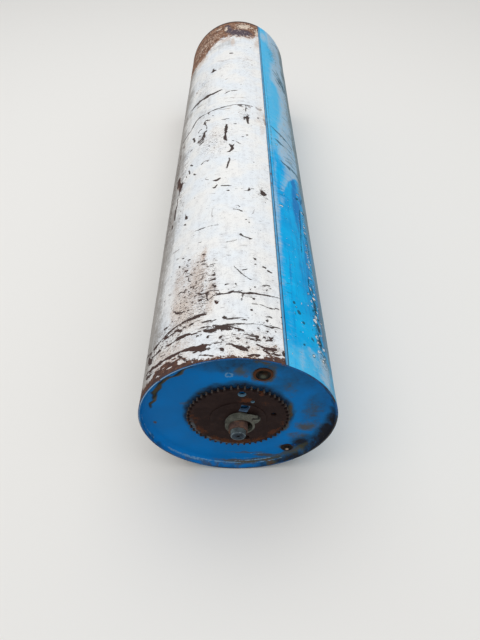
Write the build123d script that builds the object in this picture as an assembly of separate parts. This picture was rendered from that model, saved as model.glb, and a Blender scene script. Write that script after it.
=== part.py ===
from build123d import *
import os
from math import cos, pi, radians, sin, tan

# A closed steel drum that lies on its side: a rolled skin of two half shells between two recessed
# ends, with a chain wheel on the hub of the drive end and a stub shaft at each end.
# Millimetres and degrees. +Y runs along the drum from the drive end to the idler end, +Z is up,
# and the origin is below the drum's middle on the surface that it lies on.

# Skin
drum_diameter = 600.0
drum_length = 2740.0
skin_thickness = 3.0
seam_angle = 25.0            # upper seam, clockwise from the top as seen from the drive end
seam_weld_width = 8.0
seam_weld_height = 1.2

# Ends
head_thickness = 4.0
knuckle_radius = 20.0        # inside radius of the bend from the flat end to its flange
flange_straight = 2.0
rim_weld_width = 5.0
rim_weld_height = 1.2
rim_weld_slope = 1.5         # width of each sloping side

# Hubs and shafts, with reaches counted outwards from the rim
hub_diameter = 58.0
hub_reach = 37.0
hub_inner_length = 40.0      # inside the end
hub_weld_leg = 5.0
shaft_seat_diameter = 46.0
journal_diameter = 45.0
journal_length = 16.0        # beyond the hub
journal_chamfer = 2.0
centre_hole_diameter = 9.0
centre_hole_depth = 9.0
centre_hole_bottom = 1.0     # diameter at its end

# Chain wheel on the drive hub
chain_pitch = 19.05
roller_diameter = 12.07
wheel_teeth = 50
wheel_thickness = 10.0
wheel_standoff = 5.0         # gap between the wheel and the end
tooth_mouth_width = 16.4     # between two tooth tips
top_hole_diameter = 24.0
top_hole_margin = 4.0        # between the hole and the tooth roots
top_hole_angle = 85.0        # hole angles run counterclockwise from the right
side_hole_diameter = 18.0
side_hole_angle = 13.0
low_hole_diameter = 20.0
low_hole_angle = -76.0
lightening_circle_inset = 36.5   # from the tooth roots to the centres of the side and low holes
small_hole_diameter = 12.0
small_hole_angle = 65.0
small_hole_clearance = 9.0   # between the hole and the hub plate

# Plate on the wheel's front
plate_diameter = 172.0
plate_thickness = 3.0
slot_width = 26.0
slot_length = 33.0
slot_corner = 10.0
slot_angle = 73.0
slot_margin = 6.0            # between the slot and the plate's edge

# Eccentric locking ring with its slotted ear
ring_diameter = 90.0
ring_width = 15.0
ring_bore_diameter = 73.0
ring_offset = 5.0            # of the ring's centre, to the right of the axis
ring_bore_turn = -20.0       # side on which the bore stands away from the hub
shoulder_diameter = 80.0
shoulder_width = 7.0
ear_thickness = 8.0
ear_setback = 4.0            # behind the ring's front face
ear_height = 22.0            # of its tip beyond the ring
ear_tip_high_angle = 34.0    # ear angles run counterclockwise from the right, about the ring's centre
ear_tip_low_angle = 24.0
ear_shoulder_height = 10.0
ear_shoulder_angle = 58.0
ear_heel_height = 11.0
ear_heel_angle = 14.0
ear_root_high_angle = 85.0
ear_root_low_angle = 4.0
ear_root_depth = 4.0         # into the ring
ear_slot_length = 21.0
ear_slot_width = 4.5
ear_slot_height = 12.0       # of its middle beyond the ring
ear_slot_angle = 35.0
ear_slot_turn = -18.0

# Filler and drain in the drive end
filler_diameter = 56.0
filler_bore = 40.0
filler_reach = 215.0         # from the axis
filler_angle = 71.0
filler_square = 24.0
drain_diameter = 40.0
drain_bore = 30.0
drain_angle = -50.0
drain_edge_distance = 2.0    # between the drain's socket and the start of the knuckle
drain_square = 16.0
socket_height = 4.0          # above the end
socket_inner_length = 10.0   # behind the end
plug_recess = 2.0            # below the socket's mouth
plug_thickness = 14.0
square_height = 7.0
drain_lug_length = 14.0
drain_lug_width = 10.0
drain_lug_height = 4.0
drain_lug_angle = 37.0

seat_clearance = 0.05        # radial, between pieces that sit in each other

# Derived sizes
drum_radius = drum_diameter / 2
skin_bore = drum_radius - skin_thickness
flange_bore = skin_bore - head_thickness
flat_radius = flange_bore - knuckle_radius
recess = knuckle_radius + flange_straight
hub_radius = hub_diameter / 2
pitch_radius = chain_pitch / (2 * sin(pi / wheel_teeth))
tip_radius = chain_pitch * (0.6 + 1 / tan(pi / wheel_teeth)) / 2
root_radius = pitch_radius - roller_diameter / 2
wheel_back = -recess + wheel_standoff
wheel_front = wheel_back + wheel_thickness
plate_front = wheel_front + plate_thickness
ring_back = plate_front + shoulder_width
ring_front = ring_back + ring_width
drain_reach = flat_radius - drain_diameter / 2 - drain_edge_distance

os.makedirs("parts", exist_ok=True)


def end_plane(end):
    """The rim plane of one end: x to the right and y up as seen from outside, z outwards."""
    side = -1 if end == "drive" else 1
    return Plane(origin=(0, side * drum_length / 2, drum_radius), x_dir=(-side, 0, 0), z_dir=(0, side, 0))


def write(name, shape, end="drive"):
    """Puts a piece from its end's rim frame into the drum's frame and writes it."""
    placed = end_plane(end).location * shape
    placed.label = name
    export_step(placed, f"parts/{name}.step")


def polar(reach, angle):
    """A place on the end: the distance from the axis and the angle from the right."""
    return Pos(reach * cos(radians(angle)), reach * sin(radians(angle)))


def disc(radius, low, high, bore=0.0):
    """A disc or ring about the axis between two heights."""
    face = Circle(radius)
    if bore:
        face -= Circle(bore)
    return Pos(0, 0, low) * extrude(face, high - low)


def turned(outline):
    """A solid of revolution about the axis from an outline of radius and height."""
    return revolve(Plane.XZ * make_face(outline), Axis.Z)


def half_skin(side_angle):
    """One half of the rolled skin, on the side that the angle from the top names."""
    half = Rot(0, 0, -side_angle) * Pos(0, drum_radius) * Rectangle(4 * drum_radius, 2 * drum_radius)
    wall = (Circle(drum_radius) - Circle(skin_bore)) & half
    return Pos(0, 0, -drum_length) * extrude(wall, drum_length)


def seam_weld(angle):
    """A low flat bead on the skin, beside the joint of the two half shells on its clockwise side."""
    half_span = seam_weld_width / drum_radius / 2
    middle = pi / 2 - radians(angle) - half_span
    crown = drum_radius + seam_weld_height

    def place(radius, share):
        turn = middle + share * half_span
        return (radius * cos(turn), radius * sin(turn))

    outline = [
        ThreePointArc(place(drum_radius, -1), place(drum_radius, 0), place(drum_radius, 1)),
        ThreePointArc(place(drum_radius, 1), place(crown, 0), place(drum_radius, -1)),
    ]
    return Pos(0, 0, -drum_length) * extrude(make_face(outline), drum_length)


def end_head(sockets=()):
    """A flat recessed end whose knuckle turns outwards into a flange inside the skin."""
    bore = hub_radius + seat_clearance
    back = -recess - head_thickness
    centre = (flat_radius, -flange_straight)
    shell = turned([
        Line((bore, -recess), (flat_radius, -recess)),
        CenterArc(centre, knuckle_radius, -90, 90),
        Line((flange_bore, -flange_straight), (flange_bore, 0)),
        Line((flange_bore, 0), (skin_bore, 0)),
        Line((skin_bore, 0), (skin_bore, -flange_straight)),
        CenterArc(centre, knuckle_radius + head_thickness, -90, 90),
        Line((flat_radius, back), (bore, back)),
        Line((bore, back), (bore, -recess)),
    ])
    for place, diameter in sockets:
        shell -= place * disc(diameter / 2 + seat_clearance, back - 1, -recess + 1)
    return shell


def rim_weld():
    """A low flat-topped bead over the joint between the skin's end and the flange."""
    inner = skin_bore - rim_weld_width / 2
    outer = skin_bore + rim_weld_width / 2
    return turned(Polyline(
        (inner, 0),
        (outer, 0),
        (outer - rim_weld_slope, rim_weld_height),
        (inner + rim_weld_slope, rim_weld_height),
        close=True,
    ))


def hub():
    """The tube through the end that holds the shaft and, at the drive end, the wheel."""
    bore = shaft_seat_diameter / 2 + seat_clearance
    return disc(hub_radius, -recess - head_thickness - hub_inner_length, hub_reach, bore)


def hub_weld():
    """The fillet weld between the hub and the end."""
    inner = hub_radius + seat_clearance
    return turned(Polyline(
        (inner, -recess),
        (inner + hub_weld_leg, -recess),
        (inner, -recess + hub_weld_leg),
        close=True,
    ))


def shaft():
    """The stub shaft: a seat in the hub and a slimmer journal beyond it, with a centre hole."""
    inner_end = -recess - head_thickness - hub_inner_length
    outer_end = hub_reach + journal_length
    seat = disc(shaft_seat_diameter / 2, inner_end, hub_reach)
    journal = disc(journal_diameter / 2, hub_reach, outer_end)
    journal = chamfer(journal.edges().group_by(Axis.Z)[-1], journal_chamfer)
    drill = Cone(centre_hole_bottom / 2, centre_hole_diameter / 2, centre_hole_depth)
    return seat + journal - Pos(0, 0, outer_end - centre_hole_depth / 2) * drill


def plate_slot():
    """The rounded slot through the plate and the wheel."""
    reach = plate_diameter / 2 - slot_margin - slot_length / 2
    outline = RectangleRounded(slot_length, slot_width, slot_corner)
    cutter = extrude(Rot(0, 0, slot_angle) * Pos(reach, 0) * outline, plate_front - wheel_back + 2)
    return Pos(0, 0, wheel_back - 1) * cutter


def chain_wheel():
    """The toothed plate: roller seats on the pitch circle that open into tapered mouths."""
    seat_radius = roller_diameter / 2
    past_tip = 2 * tip_radius - pitch_radius
    past_half = seat_radius + 2 * (tooth_mouth_width / 2 - seat_radius)
    mouth = make_face(Polyline(
        (pitch_radius, -seat_radius),
        (past_tip, -past_half),
        (past_tip, past_half),
        (pitch_radius, seat_radius),
        close=True,
    ))
    gap = Pos(pitch_radius, 0) * Circle(seat_radius) + mouth
    face = Circle(tip_radius) - [turn * gap for turn in PolarLocations(0, wheel_teeth)]
    face -= Circle(hub_radius + seat_clearance)
    circle = root_radius - lightening_circle_inset
    top_reach = root_radius - top_hole_margin - top_hole_diameter / 2
    small_reach = plate_diameter / 2 + small_hole_clearance + small_hole_diameter / 2
    face -= polar(top_reach, top_hole_angle) * Circle(top_hole_diameter / 2)
    face -= polar(circle, side_hole_angle) * Circle(side_hole_diameter / 2)
    face -= polar(circle, low_hole_angle) * Circle(low_hole_diameter / 2)
    face -= polar(small_reach, small_hole_angle) * Circle(small_hole_diameter / 2)
    return Pos(0, 0, wheel_back) * extrude(face, wheel_thickness) - plate_slot()


def hub_plate():
    """The thin round plate on the wheel's front."""
    return disc(plate_diameter / 2, wheel_front, plate_front, hub_radius + seat_clearance) - plate_slot()


def ear_outline():
    """The ear's flat outline about the ring's centre, with its slot cut out."""
    radius = ring_diameter / 2
    corners = [
        polar(radius - ear_root_depth, ear_root_high_angle),
        polar(radius + ear_shoulder_height, ear_shoulder_angle),
        polar(radius + ear_height, ear_tip_high_angle),
        polar(radius + ear_height, ear_tip_low_angle),
        polar(radius + ear_heel_height, ear_heel_angle),
        polar(radius - ear_root_depth, ear_root_low_angle),
    ]
    plate = make_face(Polyline([corner.position for corner in corners], close=True))
    slot = Rot(0, 0, ear_slot_turn) * SlotOverall(ear_slot_length, ear_slot_width)
    return plate - polar(radius + ear_slot_height, ear_slot_angle) * slot


def locking_ring():
    """A ring whose bore is out of centre, so that it touches the hub on one side only."""
    bore_offset = ring_bore_diameter / 2 - hub_radius - seat_clearance
    body = disc(ring_diameter / 2, ring_back, ring_front)
    shoulder = disc(shoulder_diameter / 2, plate_front, ring_back)
    ear_back = ring_front - ear_setback - ear_thickness
    ear = Pos(0, 0, ear_back) * extrude(ear_outline(), ear_thickness)
    bore = polar(bore_offset, ring_bore_turn) * disc(ring_bore_diameter / 2, plate_front - 1, ring_front + 1)
    return Pos(ring_offset, 0) * (body + shoulder + ear) - bore


def socket(diameter, bore):
    """A welded-in threaded ring that stands a little proud of the end."""
    inner_end = -recess - head_thickness - socket_inner_length
    return disc(diameter / 2, inner_end, -recess + socket_height, bore / 2)


def plug(bore, square):
    """A screw plug with a square on its face."""
    face = -recess + socket_height - plug_recess
    body = disc(bore / 2 - seat_clearance, face - plug_thickness, face)
    return body + Pos(0, 0, face) * extrude(Rectangle(square, square), square_height)


def drain_lug():
    """A small lug on the end beside the drain."""
    reach = drain_diameter / 2 + drain_lug_length / 2
    outline = Rot(0, 0, drain_lug_angle) * Pos(reach, 0) * Rectangle(drain_lug_length, drain_lug_width)
    blank = Pos(0, 0, -recess) * extrude(outline, drain_lug_height)
    return blank - disc(drain_diameter / 2 + seat_clearance, -recess - 1, -recess + drain_lug_height + 1)


filler_place = polar(filler_reach, filler_angle)
drain_place = polar(drain_reach, drain_angle)
drive_sockets = [(filler_place, filler_diameter), (drain_place, drain_diameter)]

write("skin_white", half_skin(seam_angle - 90))
write("skin_blue", half_skin(seam_angle + 90))
write("upper_seam_weld", seam_weld(seam_angle))
write("lower_seam_weld", seam_weld(seam_angle + 180))

write("drive_end_head", end_head(drive_sockets))
write("idler_end_head", end_head(), "idler")
for end in ("drive", "idler"):
    write(f"{end}_rim_weld", rim_weld(), end)
    write(f"{end}_hub", hub(), end)
    write(f"{end}_hub_weld", hub_weld(), end)
    write(f"{end}_shaft", shaft(), end)

write("chain_wheel", chain_wheel())
write("hub_plate", hub_plate())
write("locking_ring", locking_ring())

write("filler_socket", filler_place * socket(filler_diameter, filler_bore))
write("filler_plug", filler_place * plug(filler_bore, filler_square))
write("drain_socket", drain_place * socket(drain_diameter, drain_bore))
write("drain_plug", drain_place * plug(drain_bore, drain_square))
write("drain_lug", drain_place * drain_lug())
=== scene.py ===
"""A closed steel drum that lies on its side: worn white and blue paint over a rolled skin, recessed blue
ends, and a rusty chain wheel, locking ring and shaft at the drive end.

Places on the skin are given as an angle in degrees, clockwise from the top as seen from the drive end,
and a distance in millimetres from the drive rim. Places on an end are x to the right and y up from the
axis, in millimetres, as seen from outside, and a reach outwards from the rim plane.
"""

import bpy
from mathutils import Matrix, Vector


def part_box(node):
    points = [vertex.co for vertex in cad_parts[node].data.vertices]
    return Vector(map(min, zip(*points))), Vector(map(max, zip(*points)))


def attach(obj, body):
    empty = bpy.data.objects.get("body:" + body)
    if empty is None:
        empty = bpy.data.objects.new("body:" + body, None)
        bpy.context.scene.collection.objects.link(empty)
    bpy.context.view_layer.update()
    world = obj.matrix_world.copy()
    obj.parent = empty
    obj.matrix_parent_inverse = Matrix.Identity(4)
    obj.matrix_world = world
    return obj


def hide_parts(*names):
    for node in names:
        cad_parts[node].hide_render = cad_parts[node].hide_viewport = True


bl_info = {
    "name": "Seed treatment drum",
    "version": (1, 0, 0),
    "blender": (4, 5, 0),
    "location": "3D View > Sidebar > Drum",
    "description": "Dresses the packed drum with worn paint, rust, welds and turned steel",
    "category": "Add Mesh",
}

from types import SimpleNamespace

import bmesh
import bpy
import numpy as np

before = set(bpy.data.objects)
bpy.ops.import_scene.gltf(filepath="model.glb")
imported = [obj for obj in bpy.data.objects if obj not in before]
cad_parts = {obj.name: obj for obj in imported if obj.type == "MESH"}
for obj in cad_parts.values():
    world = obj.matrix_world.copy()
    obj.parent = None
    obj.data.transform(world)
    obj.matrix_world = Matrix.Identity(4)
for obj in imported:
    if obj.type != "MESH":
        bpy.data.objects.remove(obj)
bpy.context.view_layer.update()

# Sizes in mm and angles in degrees. ARC is the length of one degree round the skin.

MM = 0.001
SKIN_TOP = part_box("skin_white")[1]
RADIUS = SKIN_TOP.z / 2 / MM
HALF_LENGTH = SKIN_TOP.y / MM
LENGTH = 2 * HALF_LENGTH
HUB_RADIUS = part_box("drive_hub")[1].x / MM
SKIN_WALL = 3.0
HEAD_WALL = 4.0
KNUCKLE = 20.0
FLANGE = 2.0
RECESS = KNUCKLE + FLANGE
FLANGE_BORE = RADIUS - SKIN_WALL - HEAD_WALL
FLAT_RADIUS = FLANGE_BORE - KNUCKLE
SEAM = 25.0
SEAM_WIDTH = 8.0
SEAM_CROWN = 1.2
ARC = RADIUS * np.pi / 180

# Edges and faces: the angle from which an edge looks sharp, the angle from which it is rounded, and the
# distances from the drive rim up to which the skin's faces are smallest and middling

CREASE = 35.0
BEVEL_ANGLE = 40.0
NEAR_PART = 430
MIDDLE_PART = 1400

# Marks: the shift of the places at which random fields are read, how far a stroke is felt, the margin
# where there is none, and the push that makes marks on the ends ragged

FIELD_START = 900
STROKE_REACH = 60.0
NO_STROKE = -40.0
END_PUSH = 6.0

# Slots are x, y, degrees that the length is turned from level, and two half sizes from and to which a mark
# fades: along and across. Holes are a middle and a radius; their walls get a painted highlight. The rubbed
# ring is x, y, half width and height.
# The squares of the plugs turn light forwards of PLUG_FRONT. Turning marks are in radians per metre, which
# sets them 4.8 mm apart.

WHEEL_SLOT = (63.5 * np.cos(np.radians(73)), 63.5 * np.sin(np.radians(73)), 73, (16.6, 17.0), (13.1, 13.5))
EAR_SLOT = (51.7, 32.7, 17, (9.5, 12.5), (2.4, 4.8))
LIT_WALL_HOLES = (((11.3, 129.2), 12.0), ((42.7, 91.5), 6.0))
RUBBED_RING = (-25.5, 200, 9.5, 8.0)
PLUG_FRONT = -HALF_LENGTH + 14
TURNING = 1300.0

# Floor, lamp and camera, in metres, degrees and, for the sensor, mm

FLOOR_CORNERS = ((-20, -14, 0), (20, -14, 0), (20, 26, 0), (-20, 26, 0))
LAMP_SIZE = 8.0
LAMP_PLACE = (-0.6, 0.2, 6.0)
LAMP_TILT = (6, -4)
SENSOR_WIDTH = 36
CAMERA_ASIDE = 0.0026
CAMERA_ROLL = -0.2


def shade(red, green, blue):
    """A colour as it looks on screen, 0 to 255, as the linear light that shaders take."""
    value = np.array([red, green, blue]) / 255
    linear = np.where(value <= 0.04045, value / 12.92, ((value + 0.055) / 1.055) ** 2.4)
    return tuple(float(part) for part in linear)


def smooth(value, low, high):
    """0 below low, 1 above high, and 3t^2 - 2t^3 between them."""
    t = np.clip((value - low) / (high - low), 0, 1)
    return t * t * (3 - 2 * t)


def random_field(x, y, cell, seed, around=128):
    """Random heights from -1 to 1 at the corners of a square lattice, seeded, blended across each
    square by 3t^2 - 2t^3 both ways. The heights repeat along x after around cells."""
    table = np.random.default_rng(seed).uniform(-1, 1, (around, 128))
    column, row = np.floor(x / cell).astype(int), np.floor(y / cell).astype(int)
    f, g = smooth(x / cell - column, 0, 1), smooth(y / cell - row, 0, 1)

    def corner(right, up):
        return table[(column + right) % around, (row + up) % 128]

    low = corner(0, 0) * (1 - f) + corner(1, 0) * f
    high = corner(0, 1) * (1 - f) + corner(1, 1) * f
    return low * (1 - g) + high * g


# Meshes


def grid_faces(rows, columns, around=False):
    """Four-cornered faces between neighbouring rows and columns of a grid whose points count up along
    each row. Around joins the last column to column 0."""
    row, column = np.indices((rows - 1, columns if around else columns - 1))
    right = (column + 1) % columns
    corners = [row * columns + column, row * columns + right,
               (row + 1) * columns + right, (row + 1) * columns + column]
    return np.stack(corners, axis=-1).reshape(-1, 4)


def mend(mesh, flatten=False):
    """Welds points that share a place, joins faces that lie flat where asked and turns all outwards."""
    form = bmesh.new()
    form.from_mesh(mesh)
    bmesh.ops.remove_doubles(form, verts=form.verts, dist=1e-6)
    if flatten:
        bmesh.ops.dissolve_limit(form, angle_limit=np.radians(0.5), verts=form.verts, edges=form.edges)
    bmesh.ops.recalc_face_normals(form, faces=form.faces)
    form.to_mesh(mesh)
    form.free()


def finish_piece(name, mesh, material, nodes):
    """Links a mesh as a smooth-shaded piece that rides on the drum and stands for its nodes."""
    mesh.shade_smooth()
    mesh.set_sharp_from_angle(angle=np.radians(CREASE))
    mesh.materials.clear()
    mesh.materials.append(material)
    piece = bpy.data.objects.new(name, mesh)
    bpy.context.scene.collection.objects.link(piece)
    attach(piece, "root")
    if nodes:
        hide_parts(*nodes)
    return piece


def add_piece(name, points, faces, material, slot, nodes=(), values=None):
    """A piece from points in metres and faces. Values are per-point vectors that its material reads."""
    mesh = bpy.data.meshes.new(name)
    mesh.from_pydata(points, [], faces)
    for key, vectors in (values or {}).items():
        attribute = mesh.attributes.new(key, "FLOAT_VECTOR", "POINT")
        attribute.data.foreach_set("vector", np.asarray(vectors, np.float32).ravel())
    mend(mesh)
    return finish_piece(name, mesh, material, nodes)


def copy_node(name, node, material, bevel):
    """A merged copy of a node's solid with its flat faces joined and its edges rounded by a bevel in mm."""
    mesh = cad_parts[node].data.copy()
    mend(mesh, flatten=True)
    add_bevel(finish_piece(name, mesh, material, (node,)), bevel)


def add_bevel(piece, width, segments=2):
    """Rounds every sharp edge, with a width in mm."""
    bevel = piece.modifiers.new("edges", "BEVEL")
    bevel.width = width * MM
    bevel.segments = segments
    bevel.limit_method = "ANGLE"
    bevel.angle_limit = np.radians(BEVEL_ANGLE)
    bevel.use_clamp_overlap = True


def on_skin(radius, turn, along):
    """Points in metres from radius, angle in radians and distance: x = r sin a, z = R + r cos a."""
    points = np.stack([radius * np.sin(turn), along - HALF_LENGTH, RADIUS + radius * np.cos(turn)], axis=-1)
    return points.reshape(-1, 3) * MM


def on_end(x, y, reach, end):
    """Points in metres from places on an end: x mirrors at the idler end, which faces the other way."""
    side = -1 if end == "drive" else 1
    return np.stack([-side * x, side * (HALF_LENGTH + reach), RADIUS + y], axis=-1).reshape(-1, 3) * MM


def turned(profile, end, centre=(0.0, 0.0), turns=96, lift=None):
    """A profile of (radius, reach) points carried round an axis at centre: x = cx + r cos t,
    y = cy + r sin t. A profile that starts and ends on the axis closes at its poles, and any other
    closes on itself. Lift(radius, reach, turn) gives radius and reach as they are at each turn."""
    profile = np.array(profile, float)
    if max(profile[0, 0], profile[-1, 0]) > 1e-6:
        profile = np.vstack([profile, profile[:1]])
    turn = np.linspace(0, 2 * np.pi, turns, endpoint=False)
    radius, angle = np.meshgrid(profile[:, 0], turn, indexing="ij")
    reach = np.meshgrid(profile[:, 1], turn, indexing="ij")[0]
    if lift:
        radius, reach = lift(radius, reach, angle)
    points = on_end(centre[0] + radius * np.cos(angle), centre[1] + radius * np.sin(angle), reach, end)
    return points, grid_faces(len(profile), turns, around=True)


def carried_outline(outline, levels, end, centre):
    """A closed outline of (x, y) points carried outwards: at each level (inset, reach) it is drawn in
    towards its middle by the inset. The first and last levels close on a middle point."""
    size = np.linalg.norm(outline, axis=1).max()
    share = np.array([0.0] + [1 - inset / size for inset, _ in levels] + [0.0])
    reach = np.array([levels[0][1]] + [level for _, level in levels] + [levels[-1][1]])
    x = centre[0] + share[:, None] * outline[None, :, 0]
    y = centre[1] + share[:, None] * outline[None, :, 1]
    points = on_end(x, y, np.broadcast_to(reach[:, None], x.shape), end)
    return points, grid_faces(len(share), len(outline), around=True)


def rounded_square(side, power=7.0):
    """The outline |x|^p + |y|^p = (side/2)^p, walked round by angle."""
    t = np.linspace(0, 2 * np.pi, 64, endpoint=False)
    reach = side / 2 / (np.abs(np.cos(t)) ** power + np.abs(np.sin(t)) ** power) ** (1 / power)
    return np.stack([reach * np.cos(t), reach * np.sin(t)], axis=1)


# Marks on the skin. A stroke is a tone, from 0 for a dark scratch to 1 for brown rust, and then angle,
# distance and width in mm over and over. A spot is (angle, distance, width). A patch is (angle, distance,
# half angle, half distance, strength). An edge is a run of points, each a place along it and its position.

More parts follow.
